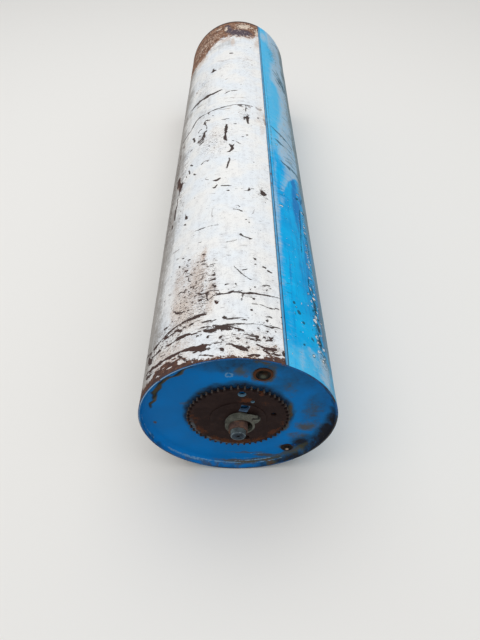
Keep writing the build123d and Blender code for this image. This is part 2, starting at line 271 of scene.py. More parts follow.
WHITE_STROKES = (
    # left of the top, near the drive rim
    (.6, -58,150,6, -56,146,14, -52,148,8, -50,153,7, -46,158,7, -43,163,8, -40,166,8, -37,169,8,
     -33,171,9, -28,172,10, -25,174,9, -22,175,11, -19,176,11, -17.8,175,6),
    (.6, -120,214,4, -90,196,5, -70,168,6, -64,152,8, -60,144,8),
    (.7, -65,140,10, -63,122,30, -61,112,30, -58,97,8), (.6, -60,126,4, -57,116,9, -54,112,8, -50,117,10,
     -48,110,4), (.5, -49,90,3, -46,86,4), (.5, -48,124,4, -47,122,6), (.4, -47.5,196,3, -46.5,172,2),
    (.4, -46,192,3, -44,189,4), (.9, -46,152,13, -44,146,13, -41,141,5),
    (.8, -42,146,5, -40,147,9, -38,144,6), (.7, -64,60,8, -61,56,16, -58,50,10, -54,46,6),
    (.6, -52,65,6, -51,62,8), (.8, -38,153,5, -35,148,11, -33,141,11, -32,137,4),
    (.5, -32,151,3, -30.5,148,6, -29.5,145,3), (.4, -27.5,149,7, -26.5,150,8, -25,152,5),
    (.3, -20,144,5, -16.5,146,6, -15,146,4, -13.5,142,5, -12,146,4), (.7, -44,114,4, -41,110,8, -38,110,8,
     -35,116,13, -32,114,17, -29,116,17, -27,112,12, -25,110,6, -22.5,110,4), (.5, -22.5,114,3, -20,111,5),
    (.5, -20.5,124,6, -17,124,7, -14,121,3), (.5, -18.5,113,8, -16,107,13, -13,108,15, -10,110,22,
     -8,110,18, -5,112,8, -3,110,7, -1,107,9, 1,102,13, 2.5,98,11, 3.5,97,6),
    (.5, -13.5,126,4, -11.5,122,9, -8.5,119,8), (.3, -16,88,6, -15.8,80,4),
    (.4, -9.5,74,8, -8.5,80,9, -8.3,84,6), (.4, -8,65,5, -7.3,63,7), (.5, -22.5,98,7, -21.5,97,4),
    (.9, -66,78,7, -61,74,10, -56,68,13, -51,64,14, -45,61,13, -40,60,11, -36,60,11, -32,60,11, -29,59,12,
     -26,58,14, -23,57,16, -21,54,19, -19,51,22, -17,54,13, -15.5,56,8, -14.5,52,6),
    (.8, -33,48,8, -31,38,10, -29,28,8, -27.5,20,6), (.6, -24,41,4, -22.5,42,9, -21,44,6),
    (.6, -19.5,44,11, -18,42,11, -16,42,8), (.4, -14,59,5, -11,59,4, -6,57,2),
    (.5, -9,38,5, -7.8,33,9, -7.5,25,6), (.6, -20,25,4, -17,21,5, -14,17,4, -12.5,14,4),
    (.8, -27,14,8, -24,12,10, -21,10,8), (.6, -24,19,5, -22.5,17,8),
    # right of the top, near the drive rim
    (.2, -8,152,9, -7,150,10, -6.3,147,7), (.1, -6,144,5, -3,143,5, .5,143,4),
    (.1, -3,147,2, 2,147,3, 6,148,2), (.1, 2,139,2, 5,139,4), (.3, -8,122,6, -4,122,4, 0,123,5, 3.5,124,4),
    (.1, 4,122,2, 8,126,3, 13,126,3, 17,122,8, 19.5,124,7, 24,125,3), (.5, -6.5,103,3, -5,102,6, -3,102,4),
    (.4, -3,88,3, -2,83,5, -1,83,4), (.5, 3,83,4, 5,84,6, 7,80,9, 9,79,10, 10.5,80,8, 11,78,5),
    (.4, 7.2,95,2, 7.8,86,6), (.5, 4,70,4, 5.5,69,6, 9,65,7, 11,68,7, 12,65,4),
    (.4, -1,71,5, 0,69,8, 1,68,5), (.6, 9,52,5, 10,51,9, 11.5,48,6), (.5, 9.5,34,4, 11,34,4),
    (.5, 5.5,40,6, 5.8,36,6), (.7, -6,52,4, -3,50,6, -2,43,10, 0,37,13, 2,36,17, 3.5,31,15, 5,25,8),
    (0, 16,148,10, 16,143,9), (0, 15.5,161,3, 17.5,163,5, 19,161,4), (.2, 10.5,112,7, 11.5,108,7),
    (.4, 14,82,8, 14.5,77,6), (.5, 16.5,84,8, 17.5,78,11, 17.5,72,8), (.5, 15,68,7, 17,72,4),
    (.8, 12,46,6, 14,40,11, 17,42,10, 20,44,11), (.8, 13,33,9, 15,28,8, 17,20,6),
    (.8, 18,30,4, 20,25,8, 22,26,8), (.9, 14,10,8, 18,8,12, 22,10,11),
    (.2, 24.2,45,5, 24.3,35,9, 24.4,28,7), (.8, 5,10,8, 8,12,9, 11,14,9),
    # speckled part
    (.3, -26,523,3, -24,521,7), (.3, -38.5,483,6, -37,477,7), (.4, -33,455,6, -31,451,4),
    (.4, -40.5,450,4, -39.7,443,7), (.4, -34,440,4, -33.5,428,4, -32.5,420,4),
    (.4, -31.5,432,3, -30,428,5), (.4, -37,426,5, -36,420,6), (.9, -35,407,6, -32.5,401,7),
    (.5, -34,376,3, -31.9,371,4, -31.2,359,3, -31.4,351,5, -30.7,346,6, -29.6,341,4),
    (.5, -34,390,3, -31,383,3, -30,372,3, -28,366,3), (.5, -33,315,5, -32.3,312,6),
    (.5, -29,317,4, -28.7,311,5), (.5, -30.3,301,4, -30,293,4), (.5, -33,280,5, -32.5,277,6),
    (.4, -39,304,3, -37,313,5, -34,305,4, -32.5,301,3), (.5, -41,243,4, -39.5,237,6, -38.5,228,7,
     -36,222,7, -33,217,5, -31.5,213,4), (.5, -29.8,216,5, -28.8,212,5), (.5, -41.5,203,3, -40.5,199,5),
    (.5, -47.5,194,5, -45,190,8), (.5, -35,335,4, -34,330,5), (.6, -24.5,273,4, -23,269,9, -22,266,11,
     -21.5,264,8, -19.5,264,4, -18,265,4, -16,270,4, -13.5,266,5, -12,266,5),
    (.4, -18.5,266,4, -17.8,255,6, -17.8,240,4, -17,230,4), (.3, -16,235,3, -13,250,3, -12,256,4),
    (.5, -22.5,234,5, -22,241,8, -21,238,4), (.5, -27.5,241,4, -26.5,245,4),
    (.5, -14.8,296,4, -14,290,6, -13.2,285,9, -12.6,284,5), (.4, -16,339,3, -14.5,338,8, -13.5,337,5),
    (.4, -17,316,5, -15,318,4, -13.8,318,7, -12.7,318,4), (.4, -15.5,358,3, -14.3,358,5),
    (.1, -17,389,2, -13.5,390,3), (.8, -13,224,5, -12.5,217,9, -11.5,213,11, -11,218,8),
    (.9, -12.5,268,5, -11,262,4, -10,250,3), (.5, -22.5,452,4, -20.5,448,4), (.5, -22.5,420,3, -20,417,3),
    (.5, -22.5,404,3, -20,400,4),
    # crown
    (.1, -7.5,491,2, -4,495,4, -2,496,3, 0,503,2), (.1, 1.8,535,4, 2.3,527,9, 3,522,6, 5,516,4, 7,515,5,
     8,509,8, 9,510,4), (.1, 9.5,413,3, 10.5,408,9, 11,406,7), (.2, 15,380,4, 16.3,375,9, 17,371,6),
    (.2, 18.3,364,7, 18.8,361,7, 21,358,3), (0, -2.5,371,2, -1,358,3, 1,343,3, 3,330,4, 5,319,4, 7,309,4,
     8.5,308,2), (0, 3,351,3, 4,353,5, 6,358,2), (.1, -7.5,286,4, -6,289,6, -5,289,3),
    (.1, -1.3,290,5, -1,279,6, -.3,278,5), (.1, 14.5,289,4, 16,290,7, 17,293,5, 19,294,4),
    (.2, 16.8,268,7, 17,273,8, 17.6,277,4), (0, 18.5,282,3, 19.5,284,3),
    (.3, -12.5,247,5, -9.3,248,8, -8,246,6, -5,250,7, -3,254,9, -1,252,9, 1,251,8, 3,248,6, 5,248,8,
     7,249,10, 10,250,9, 13,248,5, 16,249,8, 18,250,8, 20,249,4, 25,250,4),
    (0, .5,258,2, 1.5,262,2, 2.5,256,2), (.1, 2.5,240,3, 2.8,233,5, 2.3,228,4, 2,216,4),
    (0, 4,232,3, 8,233,3), (.2, 8.8,228,7, 9.3,224,5), (.1, 8,205,3, 10,207,3, 14,204,3, 15.5,200,5,
     17,200,3, 19,198,6, 20,200,3, 22,203,3, 24,199,2),
    (.3, -18.2,838,6, -16.5,835,9, -15.5,845,6, -15.2,855,4),
    (.1, -12,839,5, -10,836,6, -7,832,6, -4.5,829,4), (.2, -8.5,799,3, -7,799,9, -6,798,6),
    (0, -2,807,2, 4,808,3), (.2, 5,796,5, 8,797,8, 8,805,10, 8.2,818,6), (.1, 10,813,4, 12,816,3),
    (.3, 16.4,812,10, 18.2,806,14, 18.6,796,30, 18.4,784,18),
    (.5, -40.5,748,3, -40,735,5, -39,718,12, -38,708,6), (.4, -40.5,683,5, -39.5,678,9, -38.5,671,4),
    (.1, -2.5,697,3, .5,698,3, 1.3,690,3), (.1, -3,678,3, -1,674,4, 1,672,4, 2,666,5, 3,664,5),
    (.2, -29.5,601,3, -27.5,597,6, -25,599,4, -22,597,3, -13,595,3), (.6, -57,765,8, -56,740,10),
    (.6, -53,900,8, -55,850,10, -54.5,800,14, -54,785,10), (.5, -18,888,12, -15,885,14, -13,895,8),
    # beyond 900 mm
    (.9, -57,1095,26, -55,1040,30, -52,1010,32, -52,970,18, -52.5,945,8), (.7, -55,930,8, -54,900,8),
    (.4, -41.5,1108,8, -40,1096,10, -38.8,1086,6), (.4, -43,1072,6, -42,1058,8, -41,1035,6),
    (.4, -45.5,1042,4, -44.5,1030,6), (.4, -37,1014,5, -36,1003,9, -34.5,994,6),
    (.4, -44,1241,8, -42,1243,8), (.4, -37,1268,6, -35,1276,8),
    (.4, -33.5,1228,7, -31,1240,11, -29,1246,8), (.4, -34,1246,7, -31.5,1258,12, -29,1266,9),
    (.4, -35,1262,7, -32,1274,12, -28.6,1282,10), (.4, -33,1280,7, -30.5,1292,12, -28.6,1298,8),
    (.3, -30,1050,4, -28.5,1060,7, -26.5,1065,6, -25,1058,9, -23.5,1054,7),
    (.3, -25,922,4, -24,912,6, -22,905,3), (.3, -9.6,1335,8, -9.5,1300,12, -10,1270,13, -10.5,1230,13,
     -10,1200,11, -9,1182,8), (.3, -6.8,1152,8, -5.5,1135,12, -4,1115,12, -4.8,1098,10, -6.5,1088,8,
     -8,1087,5), (.2, -3,1150,6, -3.8,1135,7, -4.2,1120,8), (.1, -4,1178,8, -3,1175,5),
    (.1, -1,1167,6, .5,1157,8, 2,1150,6), (.1, 3.5,1211,5, 5,1213,5), (.2, 8,1235,9, 7.5,1228,8),
    (.3, -6.7,1038,5, -6.3,1025,9, -7,1000,6, -7.8,970,6, -8.2,958,5), (.4, -31.5,1300,8, -29.2,1312,10),
    (.4, -30.5,1322,14, -28.5,1332,15, -27.5,1338,9), (.4, -35,1322,8, -34,1318,9),
    (.3, -42.5,1350,9, -41,1335,9, -40.5,1315,9, -39.5,1300,8),
    (.5, -36.5,1365,10, -35,1380,8, -33,1376,7), (.3, -30.6,1423,12, -30.2,1440,13, -29,1442,12,
     -27,1431,12, -25,1428,8), (.4, -30.5,1420,10, -29.5,1405,6, -28,1380,4, -27.6,1350,4),
    (.2, -23,1466,6, -22,1456,6), (.2, -32,1498,4, -32,1480,3), (.2, -27.5,1510,3, -26.5,1490,4),
    (.1, -14,1390,4, -11.5,1386,9, -10,1389,7, -7.5,1386,4), (.2, -3,1331,9, -1.5,1332,8),
    (.2, 6.5,1425,5, 9.5,1428,5), (.2, 8,1420,10, 8.2,1400,17, 8.5,1372,10, 8.8,1348,8),
    (.2, 5.5,1400,10, 5.4,1375,5), (.2, 8.8,1345,10, 9.6,1342,8), (.4, 18,1425,8, 18.3,1412,6),
    (.3, -62,1460,8, -55,1455,11, -50,1460,9, -47,1464,11, -44,1490,10, -41,1512,11, -38,1520,11,
     -35,1520,13, -32,1516,8, -30,1515,4, -20,1517,10, -17,1512,8, -14.5,1520,5, -11,1517,6, -9,1521,7,
     -6,1519,6, -5,1526,5, 0,1527,5, 3,1528,5, 11,1525,8, 14,1522,4), (.1, .5,1517,10, 3,1518,12),
    (.1, 8,1520,11, 11,1520,11), (.1, 8,1496,5, 11,1500,6), (.2, 7.2,1528,6, 7.2,1490,6, 7,1455,4),
    (.1, -12,1664,6, -10,1673,10, -8.5,1681,8, -5,1687,8, 0,1689,3), (.4, -52,1715,8, -50,1713,16,
     -45,1711,25, -40,1712,28, -35,1713,29, -30,1711,28, -26,1711,24, -23,1710,19, -20,1716,15,
     -17,1718,13, -15,1720,8), (.3, -28.5,2005,10, -27,2004,18, -25,2007,22, -23,2003,14),
    (.3, -26,2025,9, -26,2045,6), (.3, -8,2200,13, -6.5,2193,18, -5,2188,10),
)
WHITE_FAINT = (
    (.3, -27.5,1065,5, -24,1060,9, -22,1058,5), (.2, -18,141,4, -14,137,3), (.2, -7,424,4, -4,422,4),
    (.3, -21,802,2, -16,795,2), (.3, -30,925,3, -27,915,3), (.3, 2,1505,12, 4,1500,12),
    (.2, 9,1508,16, 11,1510,16), (.5, 16.5,1525,8, 18,1515,16, 20,1505,14, 22,1525,6),
    (.6, 23.5,1430,8, 24,1395,16, 24.5,1370,10), (.3, -41.5,1660,12, -40,1655,12, -36,1655,8),
    (.3, -58,1685,12, -58,1675,12), (.6, -60,1400,14, -58,1385,14, -55,1360,8),
    (.6, -63,1350,14, -62,1320,20, -61,1300,16), (.2, -20,2003,10, -17,2003,5),
    (.2, -11,2002,8, -9,2003,6), (.2, -14,2108,4, -4,2110,4, 8,2108,4, 18,2104,5),
    (.2, -22,2130,6, -16,2105,8, -14,2095,6), (.2, -12,1830,5, -10,1845,8), (.4, -47,1890,12, -45,1860,10),
    (.3, -50,560,6, -43,550,8), (.2, -44,502,8, -42,497,6), (.3, -48,344,5, -46,335,7),
    (.1, 9,645,2, 10.5,660,3, 11.5,685,2), (.1, -17.8,700,2, -17.6,655,3, -16.8,649,5),
    (.1, -18,1500,5, -10,1492,6, -5,1490,5), (.1, -12,1610,4, -4,1606,4, 8,1604,4),
    (.1, -10,1566,4, 6,1563,4), (.5, -80,1640,5, -66,1668,8, -58,1688,10), (.4, -66,1380,4, -50,1414,6),
    (.5, -76,1200,6, -60,1215,8, -50,1210,5), (.5, -140,900,6, -120,910,12, -96,905,6),
    (.5, -150,1900,8, -125,1880,14, -100,1890,7), (.5, -110,2200,8, -90,2210,14),
)
WHITE_SPOTS = (
    (7.3,180,7), (9.5,166,4), (15.8,103,8), (18.5,85,6), (1.5,127,3), (7.5,160,3), (11.5,136,4),
    (14,135,3), (17.5,135,4), (20.5,109,5), (-20,98,5), (-15,41,9), (4.5,55,5), (-37,297,6), (-43,262,6),
    (-28.7,288,4), (-30,278,5), (-14,348,5), (-21,250,5), (-18.6,385,4), (10.5,383,7), (9.8,279,6),
    (7,266,5), (5.5,615,8), (7.5,600,6), (24.6,147,5), (24.6,172,5), (-34,522,4), (-48,430,6), (-52,330,7),
    (21,768,7), (-24,1180,8), (-14,1100,6), (12,1010,6), (1,900,5), (-33,820,6), (-45,1600,8), (3,1760,8),
    (-16,1900,9), (14,2300,10), (-100,420,9), (-118,1300,14), (-92,1750,12), (-135,2100,14), (-128,640,12),
    (-146,1180,14), (-84,1250,8),
)
WHITE_RUST = (
    (-54,1035,3.4,80,.6), (-57,800,4,120,.3), (-78,620,4,330,.55), (-84,300,6,200,.5), (18,42,7,12,.5),
    (17,80,4,12,.35), (-24,150,6,12,.3), (-88,60,16,50,.7), (-95,900,12,300,.5), (-115,1900,16,320,.55),
    (-90,2300,14,160,.6), (-140,700,12,400,.5), (-150,1500,8,800,.6), (-120,300,10,120,.45),
    (-100,1450,8,200,.45), (-22,442,1.6,40,.4), (-33,203,3,9,.35),
)
WHITE_SPECKLE = (
    (-34,230,16,140,.5), (-24,310,13,240,.6), (-38,400,10,130,.4), (-19,250,6,120,.75), (-30,160,20,50,.7),
    (-22,440,4,60,.45), (-14,330,5,190,.5), (17,80,12,75,.3), (17,35,9,30,.7), (0,60,30,80,.36),
    (-45,120,36,110,.5), (17,800,9,110,.45), (-33,1290,8,110,.6), (-20,1200,26,220,.4),
    (12,480,16,280,.12), (-38,1900,20,260,.35), (8,2050,16,300,.3), (-110,700,30,700,.5),
    (-110,2000,30,700,.5), (4,1420,14,130,.4), (-66,1000,12,700,.7), (14,300,10,100,.25),
    (-5,1370,60,1500,.1), (-48,1000,8,600,.5),
)
WHITE_GRIME = (
    (-108,1400,40,1600,.5), (-20,2360,40,90,.3), (-18,2010,24,200,.2), (-36,1700,20,400,.3),
    (20,1390,6,120,.3), (-150,1370,12,1600,.8), (-64,700,4,420,.9), (-72,420,5,380,.8), (-52,1650,7,60,.6),
    (-60,1330,6,70,.8),
)
FILM_EDGE = (
    (0,-53), (300,-51), (900,-49), (1400,-50), (1643,-52), (2740,-52),
)
WHITE_STAIN = (
    (-33,230,18,180,.9), (-26,320,13,220,.9), (-38,360,10,170,.7), (-22.5,440,3,70,1.0),
    (-15,260,6,120,.8), (-30,150,22,70,.6), (-40,60,26,80,.75), (-5,2370,4,110,1.2), (-45,2300,16,120,.9),
    (23,2400,5,140,.9), (18,1500,7,200,.4), (-14,2420,14,60,.8), (8,2440,14,40,.7), (-50,70,16,60,.4),
    (8,30,24,34,.6), (-56,1070,5,90,.5), (-110,2350,40,160,.7), (6,70,20,40,.4), (-100,90,34,110,.6),
    (-20,1280,24,240,.3), (-100,700,20,600,.5), (-30,1450,14,260,.3), (18,1390,6,90,.5),
    (23.6,1430,2.6,70,1.3), (20,1300,4,90,.6),
)
WHITE_VIOLET = (
    (3,2535,21,90,1.1), (-10,2580,8,80,.9), (-12,2650,6,70,.9), (-125,2640,24,100,.8),
)
WHITE_FLAKES = (
    (-40,2540,34,170,.55), (7,2655,15,70,1.6), (22.5,2590,4,130,1.5), (-14,2610,3,70,1.6),
    (-24,2660,8,34,1.1), (-95,2600,28,160,.7), (-135,2620,24,130,.6), (4,4,30,10,.7), (-95,24,30,30,.6),
    (18,34,9,30,.9),
)
WHITE_KEPT = (
    (-30.5,18,3.4,11,1.2), (-27,37,3.5,5,1.2), (-37.5,21,3.2,3,1.1), (-43,34,2.6,2.6,1.0),
    (-47,14,2.6,2.5,1.0), (-34.5,40,2,2.5,1.0), (-53,40,2,2.5,.9), (12,10,2.0,4,1.1), (19,12,1.6,5,1.1),
    (22,22,1.2,8,1.2),
)
NEAR_RUST_EDGE = (
    (-155,40), (-120,50), (-95,60), (-77,60), (-70,40), (-64,26), (-60,26), (-56,32), (-52,42), (-47,50),
    (-40,52), (-36,48), (-32,38), (-28,22), (-24,10), (-10,5), (0,5), (8,8), (13,16), (18,22), (25,20),
)
FAR_RUST_EDGE = (
    (-155,2520), (-120,2470), (-90,2400), (-70,2340), (-58,2330), (-51,2320), (-44,2300), (-38,2345),
    (-35,2380), (-28,2420), (-20,2450), (-8,2466), (5,2460), (16,2465), (23,2520), (25,2540),
)
BLUE_STROKES = (
    (0, 30,1394,6, 36,1376,14, 40.6,1367,18, 45,1360,16, 49,1359,10, 54,1353,7, 57,1347,5),
    (0, 33,1292,6, 37.6,1284,16, 40,1276,18, 43,1280,8), (0, 37.3,1123,7, 39.8,1114,12, 44,1116,14,
     48.7,1124,15, 54,1132,14, 60.6,1140,9), (0, 48,2165,8, 53,2130,15, 57,2095,18, 61,2060,16, 65,2015,9),
    (0, 41,2095,8, 46,2078,15, 51,2055,19, 56,2035,16, 60,2015,9),
    (0, 43.5,2025,8, 47,2012,14, 51,1995,12), (0, 40,2140,7, 44,2132,12, 49,2112,15, 54,2085,13,
     58,2050,8), (.1, 56,2284,6, 60.4,2277,11, 65.7,2290,14, 69.5,2288,11, 74,2280,6),
    (0, 48.5,560,5, 49.5,620,6, 51,700,7, 53,800,6, 54,850,5), (0, 58,862,8, 60,862,14, 62,872,8),
    (0, 50.5,900,8, 52,915,14, 54,930,8), (.2, 55,200,7, 57,168,11, 54.5,152,7),
    (0, 52.5,440,7, 51.5,400,8, 53,360,8), (.2, 53.5,345,8, 55.5,338,8), (0, 52,285,7, 55,300,9, 58,310,7),
    (.1, 57.5,268,6, 60,275,9), (0, 53,232,7, 56,226,8, 59,215,8), (0, 55.5,452,6, 56,446,7),
    (1, 53.5,449,6, 56,457,13), (1, 52,396,5, 53.5,390,9), (1, 57,381,6, 59,391,10),
    (1, 55,355,8, 58.5,362,7), (1, 51.5,327,8, 52.5,331,6), (1, 52,308,6, 53,313,6),
    (1, 54.5,267,11, 56,273,7), (1, 51.5,244,6, 54.5,251,13), (1, 58,238,7, 59.5,244,7),
    (1, 55,194,4, 57.5,201,6), (1, 51.5,173,9, 52.5,181,5), (1, 52,151,8, 54,160,6),
    (1, 58.5,149,10, 61,158,8), (1, 53,137,6, 54,143,5), (1, 51.5,116,9, 54,124,9),
    (1, 58,110,8, 60.5,120,9), (1, 56,301,4, 59,306,6), (1, 60,329,5, 62,337,6), (1, 50,214,4, 51.5,222,5),
    (1, 59.5,205,5, 61,214,6), (1, 55.5,92,6, 57,99,7), (1, 49,350,4, 50,356,4), (1, 57.5,424,5, 59,431,6),
    (1, 62,268,5, 64,276,6), (1, 45.5,80,3, 47,87,4), (1, 57,850,10, 58,856,12), (1, 56,715,4, 60,730,5),
    (1, 57,755,4, 61,772,4), (1, 56,640,4, 59,650,5), (1, 58,540,6, 60,550,8), (1, 59,488,5, 61,497,5),
    (1, 55.5,512,4, 57,519,5), (1, 31,764,5, 34,770,6), (.2, 110,1800,10, 128,1815,18, 150,1806,9),
    (.2, 95,640,6, 120,650,12, 146,642,7), (1, 88,1500,6, 98,1506,10, 104,1500,5),
)
BLUE_FAINT = (
    (0, 43,1279,8, 45.5,1287,9, 50.4,1291,9, 55,1295,8, 58,1288,5), (0, 41,1180,6, 44.5,1185,10,
     49.6,1203,10, 54,1218,9, 61,1228,8), (0, 43,1159,7, 47.6,1164,12, 50.7,1164,14, 56.6,1175,10),
    (0, 50,1420,5, 56,1400,8, 62,1392,6), (0, 54,1475,5, 60,1450,8, 66,1440,6),
    (0, 48,1240,4, 54,1248,7, 60,1262,6), (0, 50,1330,4, 57,1326,7, 63,1330,5),
    (0, 46,2195,7, 50,2165,13, 53,2120,12, 57,2080,8), (0, 63.7,2084,6, 66.8,2176,10, 68,2230,6),
    (0, 57,1118,5, 61,1126,9, 66,1145,8, 70,1165,5), (0, 62,1500,5, 68,1490,9, 74,1494,5),
    (0, 56,1555,5, 61,1540,8, 66,1536,5), (0, 58,2130,5, 62,2142,9, 66,2150,6),
    (0, 46,1600,6, 54,1612,9, 60,1622,7), (0, 45,2620,10, 48,2628,14, 50,2634,8), (0, 34,300,3, 30,292,4),
    (0, 33,340,4, 31,333,4), (0, 30,838,4, 36,850,6, 38,856,4), (0, 31,880,5, 36,892,7),
    (0, 47,1240,4, 54,1255,6), (0, 50,1280,5, 60,1300,7), (0, 44,1450,5, 50,1442,8, 58,1460,5),
    (1, 34,1240,7, 35,1246,6), (1, 40,1350,5, 43,1356,7), (1, 47,1180,4, 52,1188,5),
    (1, 53,520,4, 57,528,5), (1, 54,590,4, 58,600,5), (1, 53,955,5, 58,975,6), (1, 57,810,4, 62,822,5),
    (0, 55,690,8, 60,700,10), (0, 56,610,8, 60,618,9), (0, 55,500,6, 60,508,8),
    (0, 62,980,9, 60,940,14, 57,910,10), (1, 60,1010,6, 56,1000,7),
)
BLUE_SPOTS = (
    (36,700,6), (45,560,5), (84,900,12), (38,1520,9), (31,1900,9), (48.5,193,5), (33,120,4), (44,330,3),
    (37.3,150,4),
)
BLUE_CHALK = (
    (36,50,4,70,.45), (47,60,6,80,.45), (58,70,9,90,1.0), (57,14,12,26,.9), (54,120,5,40,.6),
    (34,2600,10,120,.75), (84,600,13,800,.6), (33,1900,9,900,.2), (100,1900,26,600,.5),
    (130,500,20,460,.45), (34,820,5,50,.45), (88,300,20,300,.5), (33,1250,8,120,.3), (44,100,3,14,.5),
    (29,900,4,1100,.4), (28.5,700,3.5,480,.65),
)
CHALK_EDGE = (
    (0,95), (850,60), (880,33), (940,38), (1067,40.5), (1125,36.5), (1196,34), (1291,35), (1391,36),
    (1470,39), (1556,41.5), (1657,43), (1773,44), (1845,44.5), (1901,43), (1943,39.5), (1982,35),
    (2073,35.5), (2236,37.5), (2300,42), (2400,43), (2453,40), (2500,36), (2740,34),
)
DEEP_EDGE = (
    (0,20), (850,31), (880,37), (930,40), (980,43), (1010,46), (1050,50), (1080,55), (1100,70), (1130,95),
    (2740,95),
)
BLUE_DEEP = (
    (50,850,9,240,.9), (52,520,7,360,.5), (45,560,4,300,.3), (58,620,5,360,.7), (50,1010,7,60,.9),
    (62,300,6,280,.6), (110,1100,16,560,.6), (36,1800,5,560,.15), (57,930,4,70,1), (150,1700,16,600,.5),
)
BLUE_GRIME = (
    (54,2040,12,160,.4), (120,1370,60,1600,.4), (60,1850,10,500,.5), (180,1370,24,1600,.9),
    (28,1370,2,1500,.15), (56,170,5,50,.5), (125,20,40,70,1), (66,2400,18,300,.6), (60,260,5,260,.45),
    (60,862,3,30,.9),
)
BLUE_SMUDGE = (
    (50,2060,4,50,.45), (57,2020,3.5,50,.5), (34.8,262,1.5,9,1.1), (38.3,228,2,12,1.2), (41,194,1.6,9,1.1),
    (39,102,1.2,6,1), (36,244,1.8,7,.5), (35,214,1.4,14,.35), (54.5,925,3,34,.8), (57,900,2.2,70,.5),
    (59,700,2.4,160,.6), (58.5,560,2,110,.6), (55,400,4,60,.7), (56,310,4,60,.8), (57,225,4.5,34,.8),
    (55,160,4,24,.7), (46,1112,5,16,.5), (47,146,2.4,10,.6), (51,640,1.3,110,.5), (49,560,1.2,50,.5),
    (29.4,1370,.7,1400,.4), (60,130,3,50,.5),
)
BLUE_RUST = (
    (60,2660,24,60,.5), (100,2620,40,90,.6), (160,2560,40,130,.7), (55,160,2.6,14,.7),
    (182,1370,9,1400,.5), (100,20,30,34,.6), (150,30,30,50,.7), (66,6,12,12,.4),
)
BLUE_SPECKLE = (
    (56,280,7,230,.7), (58,120,8,90,.8), (57.5,680,2.6,280,1.0), (180,1370,20,1500,.7),
    (110,900,40,700,.3), (60,1800,14,600,.35), (44,2400,16,300,.5), (58,620,5,400,.5),
)
BLUE_PRIMER = (
    (54,400,3,70,.5), (54,280,3,70,.5), (54,160,3.4,60,.6), (57,90,4,40,.5), (100,1500,11,140,.55),
    (140,800,14,180,.5), (57,580,3,150,.75), (58,760,2.6,90,.8), (53,60,6,40,.3),
)


def patches(angle, distance, table):
    """The strongest of soft ellipses: strength (1 - smooth(q, 0.1, 1.1)), with q the distance from the
    patch's middle as a share of its half sizes."""
    total = np.zeros_like(angle)
    for middle, place, wide, tall, strength in table:
        q = np.hypot((angle - middle) / wide, (distance - place) / tall)
        total = np.maximum(total, strength * (1 - smooth(q, 0.1, 1.1)))
    return total


def torn(angle, distance, seed, across=16.0, along=28.0):
    """Places on the skin pushed about by random fields, which gives patches ragged outlines: up to
    across mm round the drum and along mm lengthwise."""
    x, y = angle * ARC + FIELD_START, distance
    push = [0.65 * random_field(x, y / 1.6, 75, seed + k) + 0.35 * random_field(x, y / 1.6, 28, seed + k + 5)
            for k in (0, 1)]
    return angle + across * push[0] / ARC, distance + along * push[1]


def stroke_field(angle, distance, tables):
    """For each point, the stroke that covers it best: its signed distance from the stroke's line, the half
    width there, which shrinks past the stroke's ends, and the margin by which the point lies within it.
    A second vector holds the stroke's strength and tone. Tables pairs a strength with strokes."""
    x, y = angle * ARC, distance
    best = np.full(x.shape, -1e3)
    found = np.stack([np.full(x.shape, STROKE_REACH), np.full(x.shape, NO_STROKE)], axis=-1)
    mark = np.zeros(x.shape + (3,))
    for strength, strokes in tables:
        for tone, *numbers in strokes:
            line = np.array(numbers, float).reshape(-1, 3)
            knots = np.stack([line[:, 0] * ARC, line[:, 1]], axis=1)
            low, high = knots.min(axis=0) - STROKE_REACH, knots.max(axis=0) + STROKE_REACH
            near = (x > low[0]) & (x < high[0]) & (y > low[1]) & (y < high[1])
            for start, end, wide, next_wide in zip(knots, knots[1:], line[:, 2], line[1:, 2]):
                step = end - start
                span = np.hypot(*step)
                to_x, to_y = x[near] - start[0], y[near] - start[1]
                ahead = (to_x * step[0] + to_y * step[1]) / span
                held = np.clip(ahead, 0, span)
                share = held / span
                away = np.hypot(to_x - held * step[0] / span, to_y - held * step[1] / span)
                side = np.sign(step[0] * to_y - step[1] * to_x)
                half = (wide * (1 - share) + next_wide * share) / 2 - np.abs(ahead - held)
                margin = half - away
                better = margin > best[near]
                spot = np.flatnonzero(near)[better]
                best[spot] = margin[better]
                found[spot] = np.stack([side * away, np.maximum(half, NO_STROKE)], axis=-1)[better]
                mark[spot] = (strength, tone, 0)
    return np.hstack([found, np.maximum(best, NO_STROKE)[:, None]]), mark


def graded(*runs):
    """Values in steps that change: each run is a start and its step, and the last run's start ends them."""
    parts = [np.linspace(start, end, round((end - start) / step), endpoint=False)
             for (start, step), (end, _) in zip(runs, runs[1:])]
    return np.append(np.concatenate(parts), runs[-1][0])


